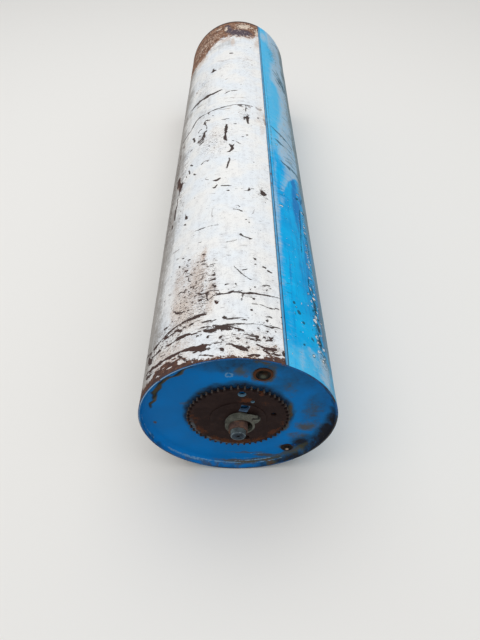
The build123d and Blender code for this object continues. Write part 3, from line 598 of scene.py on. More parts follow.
def skin_grid(first, last, seen, settings):
    """A half of the skin: x = r sin a, z = R + r cos a, r = R + w(a, s). The waviness w never goes outwards
    and fades to nothing at the seams, the rims and the line that the drum lies on. Faces are smallest
    between the angles seen and near the drive rim. An inner face, one wall further in, and plain edges
    close the sheet."""
    fine, coarse = settings.fine_step / MM, settings.coarse_step / MM
    angles = graded(*[(start, (fine if seen[0] <= start < seen[1] else coarse) / ARC)
                      for start in sorted({first, *seen, last})])
    stations = graded((0, fine), (NEAR_PART, 2 * fine), (MIDDLE_PART, 3.6 * fine), (LENGTH, fine))
    distance, angle = np.meshgrid(stations, angles, indexing="ij")
    x, y = angle * ARC + FIELD_START, distance
    wave = 0.6 * random_field(x, y, 260, 3) + 0.3 * random_field(x, y, 110, 4)
    fade = smooth(distance, 0, 60) * smooth(LENGTH - distance, 0, 60)
    fade *= smooth(angle, first, first + 8) * smooth(last - angle, 0, 8) * smooth(abs(angle - 180), 2, 14)
    radius = RADIUS + settings.waviness / MM * (wave - 0.9) * fade
    rows, columns = angle.shape
    turn = np.radians(np.concatenate([angle.ravel(), angles, angles]))
    reach = np.concatenate([radius.ravel(), np.full(2 * columns, RADIUS - SKIN_WALL)])
    along = np.concatenate([distance.ravel(), np.repeat([0.0, LENGTH], columns)])
    points = on_skin(reach, turn, along)
    outer = np.arange(rows * columns).reshape(rows, columns)
    inner = rows * columns + np.arange(2 * columns).reshape(2, columns)
    strips = [np.stack([a[:-1], a[1:], b[1:], b[:-1]], axis=1) for a, b in
              ((outer[0], inner[0]), (inner[0], inner[1]), (inner[1], outer[-1]))]
    faces = np.vstack([grid_faces(rows, columns)] + strips).tolist()
    faces += [outer[:, edge].tolist() + [int(inner[1, edge]), int(inner[0, edge])] for edge in (0, -1)]
    return points, faces, np.degrees(turn), along


def edge_of(table, value):
    """A boundary read from its points, with straight runs between them."""
    return np.interp(value, *np.array(table, float).T)


def skin_values(angle, distance, wear, tint, strokes, faint, spots):
    """The vectors that both halves carry: wear, tint, strokes and each point's place on the flat skin."""
    dots = [(0.3, a, d - size / 4, size, a + 0.3, d + size / 4, size) for a, d, size in spots]
    stroke, mark = stroke_field(angle, distance, [(0.5, faint), (1.0, strokes), (1.0, dots)])
    return {
        "wear": np.stack(wear, axis=1),
        "tint": np.stack(tint, axis=1),
        "stroke": stroke,
        "mark": mark,
        "skin_place": np.stack([angle * ARC, distance, np.zeros_like(angle)], axis=1) * MM,
    }


def white_values(angle, distance):
    """White half: wear is rust, grime and speckle, and tint is stain, violet rust and flakes of paint left on
    the rust. Rust reaches in from both rims, less the paint that is kept there, and a grey film darkens the
    lower side. Tables give the edges of both."""
    a, s = torn(angle, distance, 100)
    near_a, near_s = torn(angle, distance, 150, 3, 7)
    rust = patches(a, s, WHITE_RUST)
    rust = np.maximum(rust, smooth(edge_of(NEAR_RUST_EDGE, near_a) - near_s, -20, 20))
    rust = np.maximum(rust, smooth(s - edge_of(FAR_RUST_EDGE, a), -100, 90))
    rust = rust - patches(near_a, near_s, WHITE_KEPT)
    streaks = random_field(angle * ARC + FIELD_START, distance / 14, 12, 7)
    film = 0.95 * smooth(edge_of(FILM_EDGE, s) - a, -11, 20) * (1 - 0.3 * smooth(-a, 66, 100))
    film = np.maximum(patches(a, s, WHITE_GRIME), film)
    return skin_values(
        angle, distance,
        [rust, film * (1 + 0.15 * streaks), patches(a, s, WHITE_SPECKLE)],
        [patches(a, s, WHITE_STAIN), patches(near_a, s, WHITE_VIOLET), patches(near_a, s, WHITE_FLAKES)],
        WHITE_STROKES, WHITE_FAINT, WHITE_SPOTS)


def blue_values(angle, distance):
    """Blue half: wear is rust, grime and speckle, and tint is chalking, thick paint less smudges, and white
    primer. The paint is chalky between the edges that two tables give. A grey-olive film lies low on the
    side:
    dirt, and a painted sky reflection that is strongest where the side turns from view."""
    a, s = torn(angle, distance, 200)
    near_a, near_s = torn(angle, distance, 300, 3, 9)
    edge_a, edge_s = torn(angle, distance, 250, 5, 26)
    chalk = smooth(edge_a - edge_of(CHALK_EDGE, edge_s), -6, 8) * (1 - smooth(a, 80, 105))
    chalk *= 1 - smooth(near_a - edge_of(DEEP_EDGE, near_s), -1.6, 1.6) * (1 - smooth(a, 56, 74))
    chalk = np.maximum(0.9 * chalk, patches(a, s, BLUE_CHALK))
    deep = patches(near_a, near_s, BLUE_DEEP) - 1.4 * patches(near_a, near_s, BLUE_SMUDGE)
    streaks = random_field(angle * ARC, distance / 16, 9, 9)
    # Film: dirt, and a painted sky reflection that peaks at 66 degrees, where the side turns from view, and
    # fades below.
    film = smooth(a, 53, 66) * (1 - 0.7 * smooth(a, 66, 92)) * (0.5 + 0.4 * smooth(distance, 60, 200))
    film = np.maximum(patches(a, s, BLUE_GRIME), film)
    return skin_values(
        angle, distance,
        [patches(near_a, near_s, BLUE_RUST), film * (0.9 + 0.15 * streaks), patches(a, s, BLUE_SPECKLE)],
        [chalk, deep, patches(near_a, near_s, BLUE_PRIMER)],
        BLUE_STROKES, BLUE_FAINT, BLUE_SPOTS)


# Materials


class Finish:
    """A material's node tree, built in small steps that each return the socket they make. Noises that have
    a name are kept under it for stir."""

    def __init__(self, name):
        self.material = bpy.data.materials.new(name)
        self.material.use_nodes = True
        self.tree = self.material.node_tree
        self.surface = self.tree.nodes["Principled BSDF"]
        self.noises = {}

    def node(self, kind, **fields):
        """Adds a node with its fields set."""
        made = self.tree.nodes.new(kind)
        for key, value in fields.items():
            setattr(made, key, value)
        return made

    def feed(self, socket, value):
        """Links a socket, or sets a plain number or colour."""
        if isinstance(value, bpy.types.NodeSocket):
            self.tree.links.new(value, socket)
        elif isinstance(value, tuple) and len(value) == 3 and len(socket.default_value) == 4:
            socket.default_value = (*value, 1.0)
        else:
            socket.default_value = value

    def place(self):
        """Object coordinates, in metres."""
        return self.node("ShaderNodeTexCoord").outputs["Object"]

    def own(self, name):
        """A vector that the piece's points carry."""
        return self.node("ShaderNodeAttribute", attribute_name=name).outputs["Vector"]

    def parts(self, vector):
        """The three numbers of a vector."""
        split = self.node("ShaderNodeSeparateXYZ")
        self.feed(split.inputs[0], vector)
        return split.outputs[0], split.outputs[1], split.outputs[2]

    def noise(self, vector, scale, detail=3.0, roughness=0.55, stretch=None, name=None):
        """Cloudy noise about 0.5, finer with a larger scale. Stretch multiplies the vector's parts first."""
        if stretch:
            mapped = self.node("ShaderNodeMapping")
            self.feed(mapped.inputs["Vector"], vector)
            mapped.inputs["Scale"].default_value = stretch
            vector = mapped.outputs[0]
        made = self.node("ShaderNodeTexNoise")
        for key, value in zip(("Vector", "Scale", "Detail", "Roughness"), (vector, scale, detail, roughness)):
            self.feed(made.inputs[key], value)
        if name:
            self.noises[name] = made.outputs[0]
        return made.outputs[0]

    def math(self, operation, a, b=0.0, clamp=False):
        """One arithmetic step."""
        made = self.node("ShaderNodeMath", operation=operation, use_clamp=clamp)
        self.feed(made.inputs[0], a)
        self.feed(made.inputs[1], b)
        return made.outputs[0]

    def fold(self, operation, values):
        """Several numbers joined one after the other by an arithmetic step."""
        total = values[0]
        for value in values[1:]:
            total = self.math(operation, total, value)
        return total

    def plus(self, *values):
        """The sum of several numbers."""
        return self.fold("ADD", values)

    def times(self, *values):
        """The product of several numbers."""
        return self.fold("MULTIPLY", values)

    def most(self, *values):
        """The largest of several numbers."""
        return self.fold("MAXIMUM", values)

    def minus(self, a, b, clamp=False):
        """a less b, and where clamp is set kept from 0 to 1."""
        return self.math("SUBTRACT", a, b, clamp)

    def size(self, value):
        """A number without its sign."""
        return self.math("ABSOLUTE", value)

    def swing(self, value, amount):
        """Noise about 0.5 turned into a swing about nothing: (value - 0.5) amount."""
        return self.times(self.minus(value, 0.5), amount)

    def stir(self, value, **amounts):
        """A number with the swings of kept noises added to it, each by the amount beside its name."""
        return self.plus(value, *[self.swing(self.noises[name], amount) for name, amount in amounts.items()])

    def span(self, a, b):
        """The length of (a, b)."""
        return self.math("SQRT", self.plus(self.times(a, a), self.times(b, b)))

    def step(self, value, low, high, bottom=0.0, top=1.0):
        """Bottom below low, top above high, with a smooth step between them."""
        made = self.node("ShaderNodeMapRange", interpolation_type="SMOOTHSTEP")
        for socket, number in zip(made.inputs, (value, low, high, bottom, top)):
            self.feed(socket, number)
        return made.outputs[0]

    def mix(self, share, a, b):
        """Colour a at share 0 and colour b at share 1."""
        made = self.node("ShaderNodeMix", data_type="RGBA")
        for index, value in ((0, share), (6, a), (7, b)):
            self.feed(made.inputs[index], value)
        return made.outputs[2]

    def layers(self, colour, *coats):
        """A colour with coats laid over it in turn, each a share and a colour."""
        for share, coat in coats:
            colour = self.mix(share, colour, coat)
        return colour

    def bump(self, height, depth):
        """Relief from a height of 0 to 1 with a depth in metres."""
        made = self.node("ShaderNodeBump")
        made.inputs["Distance"].default_value = depth
        self.feed(made.inputs["Height"], height)
        return made.outputs[0]

    def done(self, colour, roughness, height=None, depth=0.0005, gloss=0.25):
        """Feeds the surface shader and returns the material. Gloss is the specular level."""
        inputs = self.surface.inputs
        inputs["Specular IOR Level"].default_value = gloss
        self.feed(inputs["Base Color"], colour)
        self.feed(inputs["Roughness"], roughness)
        if height:
            self.feed(inputs["Normal"], self.bump(height, depth))
        return self.material


def specks(finish, noise, amount, help_share, medium, low, high, top=1.0):
    """Specks where a noise, raised by a share of an amount that the points carry, passes a threshold."""
    value = finish.stir(finish.plus(noise, finish.times(amount, help_share)), medium=medium)
    return finish.step(value, low, high, 0, top)


def skin_masks(finish):
    """Where paint is missing: frayed strokes, rust bands and chips, and the values that the skin's points
    carry. It also makes the noises that both paints share."""
    step, stir, times = finish.step, finish.stir, finish.times
    m = SimpleNamespace(skin=finish.own("skin_place"))
    m.around, m.along, _ = finish.parts(m.skin)
    m.rust, m.grime, m.speckle = finish.parts(finish.own("wear"))
    offset, half, m.margin = finish.parts(finish.own("stroke"))
    strength, m.tone, _ = finish.parts(finish.own("mark"))
    m.fine = finish.noise(m.skin, 190, 4, 0.62, name="fine")
    m.medium = finish.noise(m.skin, 46, 4, 0.6, name="medium")
    m.broad = finish.noise(m.skin, 9, 3, 0.5, name="broad")
    run = finish.noise(m.skin, 34, 3, 0.6, (1, 0.6, 1), name="run")
    m.hairs = finish.noise(m.skin, 230, 3, 0.7, (0.13, 1.2, 1), name="hairs")
    m.clump = finish.noise(m.skin, 40, 4, 0.62, (1, 0.45, 1), name="clump")
    line = finish.size(stir(offset, run=6, fine=4))
    width = times(half, step(run, 0.36, 0.62, 0.6, 1.3))
    m.fray = stir(finish.minus(width, line), hairs=15)
    m.strokes = times(step(m.fray, -0.4, 0.6), step(m.margin, -5.0, -3.0), strength)
    bands = stir(m.rust, medium=1.5, fine=0.9, hairs=0.9, clump=0.6)
    m.bands = times(step(bands, 0.55, 0.62), step(m.rust, 0.02, 0.2))
    chips = finish.noise(m.skin, 105, 4, 0.62, (0.8, 1.1, 1))
    flecks = finish.noise(m.skin, 280, 3, 0.7, (1.1, 0.7, 1))
    dots = finish.noise(m.skin, 135, 2, 0.6, (0.7, 1.2, 1))
    dots = specks(finish, dots, m.speckle, 0.145, 0.1, 0.66, 0.68, 0.9)
    m.chips = finish.most(
        specks(finish, chips, m.speckle, 0.12, 0.3, 0.72, 0.745),
        specks(finish, flecks, m.speckle, 0.15, 0.12, 0.66, 0.71, 0.85),
        times(dots, step(m.speckle, 0.1, 0.45)),
        specks(finish, m.hairs, m.speckle, 0.12, 0.2, 0.66, 0.70, 0.7))
    return m


def skin_done(finish, m, colour, grime, lines, bare, rough, gloss):
    """The paint with thin lines of dirt along the drum, sunk where it is missing. Each line is the angle of
    a seam and from and to how many mm round the skin from there."""
    around = finish.plus(m.around, finish.swing(finish.noise(m.skin, 60), 1.6 * MM))
    for seam, *sides in lines:
        start, end = [seam * ARC + side for side in sides]
        inside = finish.times(finish.step(around, (start - 0.7) * MM, (start + 0.4) * MM),
                              finish.step(around, (end - 0.4) * MM, (end + 0.7) * MM, 0.8, 0))
        colour = finish.mix(inside, colour, grime)
    height = finish.plus(finish.times(bare, -0.6), finish.times(m.fine, 0.25))
    return finish.done(colour, rough, height, 0.0006, gloss)


def white_skin_material(settings):
    """White paint with grime, chips, scratches and rust that shows through."""
    finish = Finish("worn white paint")
    step, stir, times = finish.step, finish.stir, finish.times
    m = skin_masks(finish)
    soil, violet, flakes = finish.parts(finish.own("tint"))
    finish.noise(m.skin, 60, 4, 0.65, (1, 0.05, 1), name="lengthwise")
    grain = finish.noise(m.skin, 520, 2, 0.6, name="grain")
    cloud = stir(step(m.along, 0.3, 0.8, 0.12, 0), medium=1.0, fine=1.0, lengthwise=0.8, clump=0.7)
    film = stir(m.grime, lengthwise=0.9, medium=0.8, fine=0.9, hairs=0.5, broad=1.3)
    tinge = stir(soil, clump=0.6, medium=0.4, fine=1.6, grain=1.4, hairs=0.8)
    mottle = stir(finish.noise(m.skin, 220, 2, 0.6, (1, 0.5, 1)), medium=0.25)
    mottle = times(step(mottle, 0.5, 0.6, 0, 0.4), step(m.speckle, 0.2, 0.6), step(m.along, 0.5, 0.7, 1, 0))
    halo = stir(m.rust, clump=1.6, fine=1.0)
    paint = finish.layers(
        settings.white,
        (step(m.broad, 0.35, 0.65), settings.white_cool),
        (step(cloud, -0.1, 0.55, 0, 0.5), settings.white_dull),
        (step(grain, 0.5, 0.75, 0, 0.3), settings.white_speck),
        (step(m.hairs, 0.6, 0.7, 0, 0.4), settings.white_speck),
        (times(step(film, -0.05, 0.9), step(m.grime, 0.0, 0.4, 0.06, 0.9)), settings.dirt),
        (times(step(tinge, 0.1, 1.0, 0, 0.55), step(soil, 0.0, 0.4)), settings.stain),
        (mottle, shade(156, 140, 126)),
        (step(halo, 0.25, 0.9, 0, 0.55), shade(176, 132, 104)))
    far = step(m.along, 2.1, 2.3)
    blot = finish.noise(m.skin, 100, 3, 0.75, (1, 0.4, 1))
    grit = stir(m.fine, medium=0.8, hairs=0.5)
    fresh = stir(finish.plus(m.fine, step(m.along, 0.1, 2.3, -0.14, 0.16)), clump=0.9)
    even = stir(violet, medium=1.5, clump=1.2, fine=0.6)
    only_lines = finish.minus(finish.most(m.strokes, m.chips), m.bands, clamp=True)
    rust = finish.layers(
        settings.rust_dark,
        (step(m.medium, 0.4, 0.62), settings.rust_brown),
        (step(m.along, 0.08, 0.2, 0.75, 0), settings.rust_dark),
        (step(grit, 0.5, 0.64, 0, 0.7), settings.rust_brown),
        (step(fresh, 0.52, 0.66, 0, 0.8), settings.rust_orange),
        (times(step(blot, 0.53, 0.6, 0, 0.8), far), settings.rust_dark),
        (step(m.along, 2.712, 2.728, 0, 0.9), settings.rust_dark),
        (step(even, 0.25, 0.65), settings.rust_violet),
        (only_lines, finish.mix(m.tone, settings.scratch, settings.rust_dark)))
    left = stir(times(flakes, 0.5), fine=1.8, clump=1.4, hairs=0.8)
    left = step(finish.plus(left, times(finish.swing(blot, -2.6), far)), 0.42, 0.52)
    left = times(left, m.bands, step(m.along, 2.705, 2.72, 1, 0))
    bare = finish.minus(finish.most(m.bands, m.chips, m.strokes), left, clamp=True)
    colour = finish.layers(paint, (times(left, 0.7), settings.cream), (bare, rust))
    lines = ((SEAM, -2.2, 1), (SEAM - 180, -1, 2.2))
    return skin_done(finish, m, colour, settings.grime, lines, bare, step(bare, 0, 1, 0.45, 0.85), gloss=0.2)


def blue_skin_material(settings):
    """Sky blue paint, chalky in places, with white primer chips, grime and rust."""
    finish = Finish("worn sky blue paint")
    step, stir, times = finish.step, finish.stir, finish.times
    m = skin_masks(finish)
    chalk, deep, primer = finish.parts(finish.own("tint"))
    lengthwise = finish.noise(m.skin, 70, 4, 0.65, (1, 0.05, 1), name="lengthwise")
    finish.noise(m.skin, 60, 4, 0.65, (0.3, 1, 1), name="drag")
    thick = stir(deep, medium=0.6, lengthwise=1.4, clump=0.5)
    azure = finish.plus(step(m.along, 0.05, 0.15, 0.62, 0), step(m.along, 0.95, 1.35, 0, 0.75))
    worn = stir(chalk, drag=1.1, clump=0.5, fine=0.5, lengthwise=0.4)
    pale = stir(finish.plus(worn, step(m.along, 0.9, 1.3, -0.7, 0)), medium=0.8)
    film = stir(m.grime, broad=0.9, medium=0.9, lengthwise=0.9, fine=0.6)
    smudge = stir(times(deep, -1.0), fine=1.6, medium=0.8)
    halo = stir(m.rust, clump=1.6, fine=1.0)
    white_mark = step(m.tone, 0.5, 0.7)
    # Outline: a dark rim round the white chips, a painted shadow of their edges.
    outline = times(step(m.fray, -5.0, -1.5), step(m.margin, -8.0, -5.0), white_mark, 0.75,
                    step(m.clump, 0.4, 0.55))
    broken = finish.most(step(stir(m.fine, clump=0.6), 0.43, 0.49), step(m.tone, 0.5, 0.7, 1, 0))
    flake = finish.noise(m.skin, 95, 4, 0.62, (1.2, 0.7, 1))
    flaked = specks(finish, flake, primer, 0.15, 0.3, 0.69, 0.705)
    colour = finish.layers(
        settings.blue,
        (step(m.broad, 0.3, 0.7), settings.blue_bright),
        (step(lengthwise, 0.5, 0.72, 0, 0.5), settings.blue_deep),
        (step(thick, 0.0, 0.85, 0, 0.9), settings.blue_deep),
        (step(stir(azure, medium=0.8, clump=0.8), 0.1, 0.8, 0, 0.85), settings.blue_azure),
        (step(worn, 0.05, 0.95, 0, 0.9), settings.blue_chalk),
        (step(pale, 0.75, 1.25, 0, 0.6), settings.blue_grey),
        (times(step(film, 0.1, 0.95), step(m.grime, 0.0, 0.35, 0.05, 0.8)), settings.dirt_olive),
        (step(smudge, 0.2, 0.75, 0, 0.85), settings.smudge),
        (step(halo, 0.25, 0.9, 0, 0.5), shade(120, 92, 76)),
        (m.bands, finish.mix(step(m.medium, 0.35, 0.65), settings.rust_dark, settings.rust_brown)),
        (times(m.chips, 0.8), settings.chip_dark),
        (outline, shade(48, 70, 72)),
        (times(m.strokes, step(m.tone, 0.5, 0.7, 0.75, 1.0), broken),
         finish.mix(white_mark, settings.smudge, settings.white)),
        (specks(finish, flake, primer, 0.15, 0.3, 0.66, 0.69, 0.7), settings.smudge),
        (flaked, settings.white))
    lines = ((SEAM, -1, 0.8), (SEAM, 7.8, 10.5), (SEAM + 180, -2, 1))
    bare = finish.most(m.bands, m.chips, m.strokes, flaked)
    rough = finish.plus(step(bare, 0, 1, 0.4, 0.8), times(chalk, 0.15))
    return skin_done(finish, m, colour, settings.grime, lines, bare, rough, gloss=0.02)


def end_material(settings):
    """Deep blue paint of an end, with rust, grime and scuffs from the values that its points carry, and a
    small ring rubbed light above the wheel of the drive end. The grime values also paint shade: a dull blue
    along the top of the drive end and a dark shadow round its wheel."""
    finish = Finish("end paint")
    step, stir, times = finish.step, finish.stir, finish.times
    place = finish.place()
    x, y, z = finish.parts(place)
    rust, grime, scuff = finish.parts(finish.own("wear"))
    fine = finish.noise(place, 170, 4, 0.62, name="fine")
    finish.noise(place, 38, 4, 0.6, name="medium")
    broad = finish.noise(place, 7, 3, 0.5, name="broad")
    film = stir(grime, medium=1.0, fine=0.6)
    bare = finish.most(step(stir(rust, medium=1.2, fine=1.3), 0.95, 1.05),
                       step(stir(fine, medium=0.5), 0.76, 0.79))
    ring_x, ring_y, half_wide, half_high = RUBBED_RING
    ring = finish.span(finish.math("DIVIDE", finish.minus(x, ring_x * MM), half_wide * MM),
                       finish.math("DIVIDE", finish.minus(z, (RADIUS + ring_y) * MM), half_high * MM))
    ring = finish.size(stir(finish.minus(ring, 1.0), fine=2.0))
    colour = finish.layers(
        settings.end_blue,
        (step(broad, 0.3, 0.7), settings.end_bright),
        # Dull blue: a dirt film, and painted shade along the top of the drive end. Dark film: grime, and a
        # painted shadow round the wheel.
        (step(stir(grime, medium=0.5, broad=0.9), 0.05, 0.6, 0, 0.8), settings.end_shade),
        (step(film, 0.4, 1.1, 0, 0.95), settings.grime),
        (step(stir(rust, medium=0.7, fine=0.5), 0.08, 0.62, 0, 0.8), settings.rust_olive),
        (step(stir(rust, medium=1.1, fine=0.9), 0.55, 1.05, 0, 0.85), settings.rust_brown),
        (bare, finish.mix(step(fine, 0.4, 0.75), settings.grime, settings.rust_brown)),
        (step(stir(scuff, fine=1.4, medium=1.0), 0.4, 0.75, 0, 0.9), settings.scuff),
        (times(step(ring, 0.12, 0.42, 1, 0), step(y, -0.1, 0.1, 0.75, 0)), settings.scuff))
    height = finish.plus(times(bare, -0.6), times(fine, 0.2))
    return finish.done(colour, step(finish.plus(bare, film), 0.2, 1.2, 0.4, 0.85), height, gloss=0.04)


def bead_material(settings, name, paint, other, worn_and_highlit_crown):
    """Painted weld. Across holds the place from -1 to 1 across the bead, wear of its crown and grime.
    On the rims the lighter crown is also a painted highlight.
    """
    finish = Finish(name)
    step, stir = finish.step, finish.stir
    place = finish.place()
    across, worn, grime = finish.parts(finish.own("across"))
    fine = finish.noise(place, 220, 3, 0.6, name="fine")
    medium = finish.noise(place, 30, 4, 0.6, name="medium")
    crown = stir(finish.minus(worn, finish.times(finish.size(across), 1.8)), fine=0.8, medium=0.8)
    colour = finish.layers(
        paint,
        (step(medium, 0.4, 0.65), other),
        (step(crown, 0.1, 0.5, 0, 0.9), worn_and_highlit_crown),
        (step(stir(grime, fine=0.6, medium=0.8), 0.4, 0.7), settings.grime),
        (step(stir(medium, fine=0.5), 0.64, 0.7), settings.rust_brown))
    return finish.done(colour, 0.5, fine, 0.0004)


def steel_material(name, base, light, rust, rust_share=0.5, rough=0.7, scale=40.0, gloss=0.15, extra=None):
    """Old steel: a base coat of oxide, lighter rubbed places and rust in patches. Rust_share moves the
    threshold of the rust patches, from 0 for none to 1 for all over. Extra(finish, at, reach, colour)
    gives a patch height to add and a new colour, from the place, with its height taken from the drum's
    axis, and the distance to that axis, in metres."""
    finish = Finish(name)
    place = finish.place()
    fine = finish.noise(place, scale * 6, 4, 0.65, name="fine")
    medium = finish.noise(place, scale, 4, 0.6, name="medium")
    broad = finish.noise(place, scale / 5, 2, 0.5)
    colour = finish.mix(finish.step(finish.stir(medium, fine=0.5), 0.35, 0.7), base, light)
    patch = finish.stir(finish.plus(broad, rust_share - 0.5), medium=1.0, fine=0.8)
    if extra:
        x, y, z = finish.parts(place)
        up = finish.minus(z, RADIUS * MM)
        more, colour = extra(finish, (x, y, up), finish.span(x, up), colour)
        patch = finish.plus(patch, more)
    patch = finish.step(patch, 0.5, 0.68)
    colour = finish.mix(finish.times(patch, 0.85), colour, rust)
    height = finish.plus(fine, finish.times(medium, 0.6))
    return finish.done(colour, finish.step(patch, 0, 1, rough, 0.9), height, gloss=gloss)


def from_middle(finish, at, middle):
    """The distance from a line along the drum through a middle given in mm from the axis."""
    return finish.span(finish.minus(at[0], middle[0] * MM), finish.minus(at[2], middle[1] * MM))


def in_slot(finish, at, slot):
    """A share that is 1 in a slot and fades to 0 round it."""
    x, y, degrees, *fades = slot
    cosine, sine = np.cos(np.radians(degrees)), np.sin(np.radians(degrees))
    right, up = finish.minus(at[0], x * MM), finish.minus(at[2], y * MM)
    along = finish.plus(finish.times(right, cosine), finish.times(up, sine))
    aside = finish.minus(finish.times(up, cosine), finish.times(right, sine))
    return finish.times(*[finish.step(finish.size(way), low * MM, high * MM, 1, 0)
                          for way, (low, high) in zip((along, aside), fades)])


def wheel_rust(finish, at, reach, colour):
    """Fresh rust in a ring inside the teeth, most below the axis and at the right, two patches of it above
    the slot, pale scrapes low on the left, paler tips on the teeth that are partly wear and partly a painted
    highlight, and a painted highlight on the walls of two holes and of the slot."""
    x, _, up = at
    step, times = finish.step, finish.times
    ring = times(step(reach, 0.106, 0.126), step(reach, 0.136, 0.150, 1.0, -0.4))
    low = finish.plus(step(up, -0.085, -0.01, 0.34, 0.0), step(x, 0.10, 0.15, 0.0, 0.2))
    more = finish.plus(times(ring, low), step(from_middle(finish, at, (25, 103)), 0.004, 0.024, 0.26, 0),
                       step(from_middle(finish, at, (65, 130)), 0.003, 0.018, 0.24, 0))
    scrape = times(step(reach, 0.134, 0.140), step(reach, 0.146, 0.150, 1, 0),
                   step(finish.plus(up, times(x, 0.7)), -0.14, -0.08, 0.7, 0),
                   step(finish.noise(finish.place(), 45, 3, 0.6), 0.45, 0.6))
    # The paler tips of the teeth are partly wear and partly a painted highlight.
    colour = finish.layers(colour, (scrape, shade(104, 112, 116)),
                           (step(reach, 0.152, 0.1555, 0, 0.4), shade(116, 110, 102)))
    # A painted highlight on the walls of the holes.
    for middle, bore in LIT_WALL_HOLES:
        wall = step(from_middle(finish, at, middle), (bore + 0.1) * MM, (bore + 0.5) * MM, 0.85, 0)
        colour = finish.mix(wall, colour, shade(118, 156, 176))
    return more, lit_slot_wall(finish, at, reach, colour)[1]


def lit_slot_wall(finish, at, reach, colour):
    """Painted highlight: the wall of the slot through wheel and plate is coloured lighter, as if lit from
    above.
    """
    inside = finish.times(in_slot(finish, at, WHEEL_SLOT), 0.85)
    return 0.0, finish.mix(inside, colour, shade(84, 110, 138))


def shaft_end(finish, at, reach, colour):
    """A dark face with turning marks, a painted highlight on the chamfer and painted shade in the centre
    hole.
    """
    rings = finish.step(finish.math("SINE", finish.times(reach, TURNING)), -1, 1, 0, 0.6)
    face = finish.mix(rings, shade(22, 38, 52), shade(74, 92, 104))
    chamfer = finish.times(finish.step(reach, 0.0194, 0.0203), finish.step(reach, 0.0214, 0.0222, 0.8, 0))
    return 0.0, finish.layers(
        colour,
        (finish.step(reach, 0.0175, 0.0195, 1, 0), face),
        (finish.step(reach, 0.0048, 0.0058, 1, 0), shade(10, 12, 18)),
        (chamfer, shade(132, 148, 158)))


def ear_slot_shade(finish, at, reach, colour):
    """Painted shade: dark colour in and round the slot of the ring's ear."""
    inside = finish.times(in_slot(finish, at, EAR_SLOT), 0.9)
    return 0.0, finish.mix(inside, colour, shade(24, 20, 20))


def mouth_tones(centre, bore):
    """A function that keeps rust off the lip of a bore, which stays dark there as painted shade of the gap
    round the plug, and adds it further out, from the bore's middle and radius in mm."""
    def tones(finish, at, reach, colour):
        away = from_middle(finish, at, centre)
        return finish.step(away, (bore - 0.5) * MM, (bore + 2.5) * MM, -0.5, 0.5), colour

    return tones


def plug_tones(centre, half, light):
    """A function that gives the square of a screw plug a lighter middle, from its middle and half its
    side in mm."""
    def tones(finish, at, reach, colour):
        away = from_middle(finish, at, centre)
        spot = finish.times(finish.step(at[1], PLUG_FRONT * MM, (PLUG_FRONT + 2.5) * MM, 0.9, 0),
                            finish.step(away, 0.3 * half * MM, 0.95 * half * MM, 1, 0))
        return 0.0, finish.mix(spot, colour, light)

    return tones


# What a user can change


def colour_property(name, description, *tone):
    """A colour with its default as it looks on screen, 0 to 255."""
    return bpy.props.FloatVectorProperty(
        name=name, description=description, subtype="COLOR", size=3, min=0, max=1, default=shade(*tone))


def length_property(name, description, default):
    """A length in metres with its default."""
    return bpy.props.FloatProperty(name=name, description=description, unit="LENGTH", min=0, default=default)


class DrumSkinSettings(bpy.types.PropertyGroup):
    """The rolled skin and its paint"""
    fine_step: length_property("Fine step", "Size of faces where marks are small", 0.0032)
    coarse_step: length_property("Coarse step", "Size of faces elsewhere", 0.0070)
    waviness: length_property(
        "Waviness", "How far the sheet is dented inwards, at most 1.8 times this", 0.001)
    white: colour_property("White", "White paint", 238, 238, 236)
    white_cool: colour_property("Cool white", "White paint where it is bluer", 230, 236, 241)
    white_dull: colour_property("Dull white", "White paint under thin dust", 190, 190, 194)
    white_speck: colour_property("Specks", "Fine grey specks in the white paint", 122, 118, 122)
    blue: colour_property("Blue", "Blue paint", 10, 158, 222)
    blue_bright: colour_property("Bright blue", "Blue paint where it is fresh", 16, 180, 238)
    blue_chalk: colour_property("Chalk", "Blue paint that has gone chalky", 166, 194, 214)
    blue_azure: colour_property("Azure", "Blue paint faded to a lighter tone", 84, 186, 230)
    blue_grey: colour_property("Grey chalk", "Blue paint worn to grey", 160, 164, 166)
    blue_deep: colour_property("Deep blue", "Blue paint where it ran thick", 6, 118, 190)
    smudge: colour_property("Smudge", "Dark smudges on the blue paint", 34, 76, 92)


class DrumWearSettings(bpy.types.PropertyGroup):
    """Dirt and rust that several pieces share"""
    dirt: colour_property("Dirt", "Film on the white paint", 134, 127, 120)
    stain: colour_property("Stain", "Beige-brown soil in the white paint", 192, 166, 144)
    cream: colour_property("Cream", "Flakes of paint left on rust", 218, 200, 178)
    # Film on the blue paint: dirt, and a painted sky reflection near the edge of the right side.
    dirt_olive: colour_property("Olive dirt", "Film on the blue paint", 112, 122, 118)
    chip_dark: colour_property("Dark chip", "Old chips in the blue paint", 52, 66, 66)
    grime: colour_property("Grime", "Black-brown grease and mud", 42, 38, 36)
    scratch: colour_property("Scratch", "Dark bare scratches", 66, 60, 58)
    scuff: colour_property("Scuff", "Rubbed paint", 112, 162, 200)
    rust_dark: colour_property("Dark rust", "Old rust", 72, 52, 48)
    rust_brown: colour_property("Brown rust", "Rust", 106, 74, 58)
    rust_orange: colour_property("Orange rust", "Fresh rust", 160, 120, 94)
    rust_violet: colour_property("Violet rust", "Smooth grey-violet rust", 84, 72, 80)
    rust_olive: colour_property("Olive rust", "Thin stain on blue paint", 86, 85, 60)


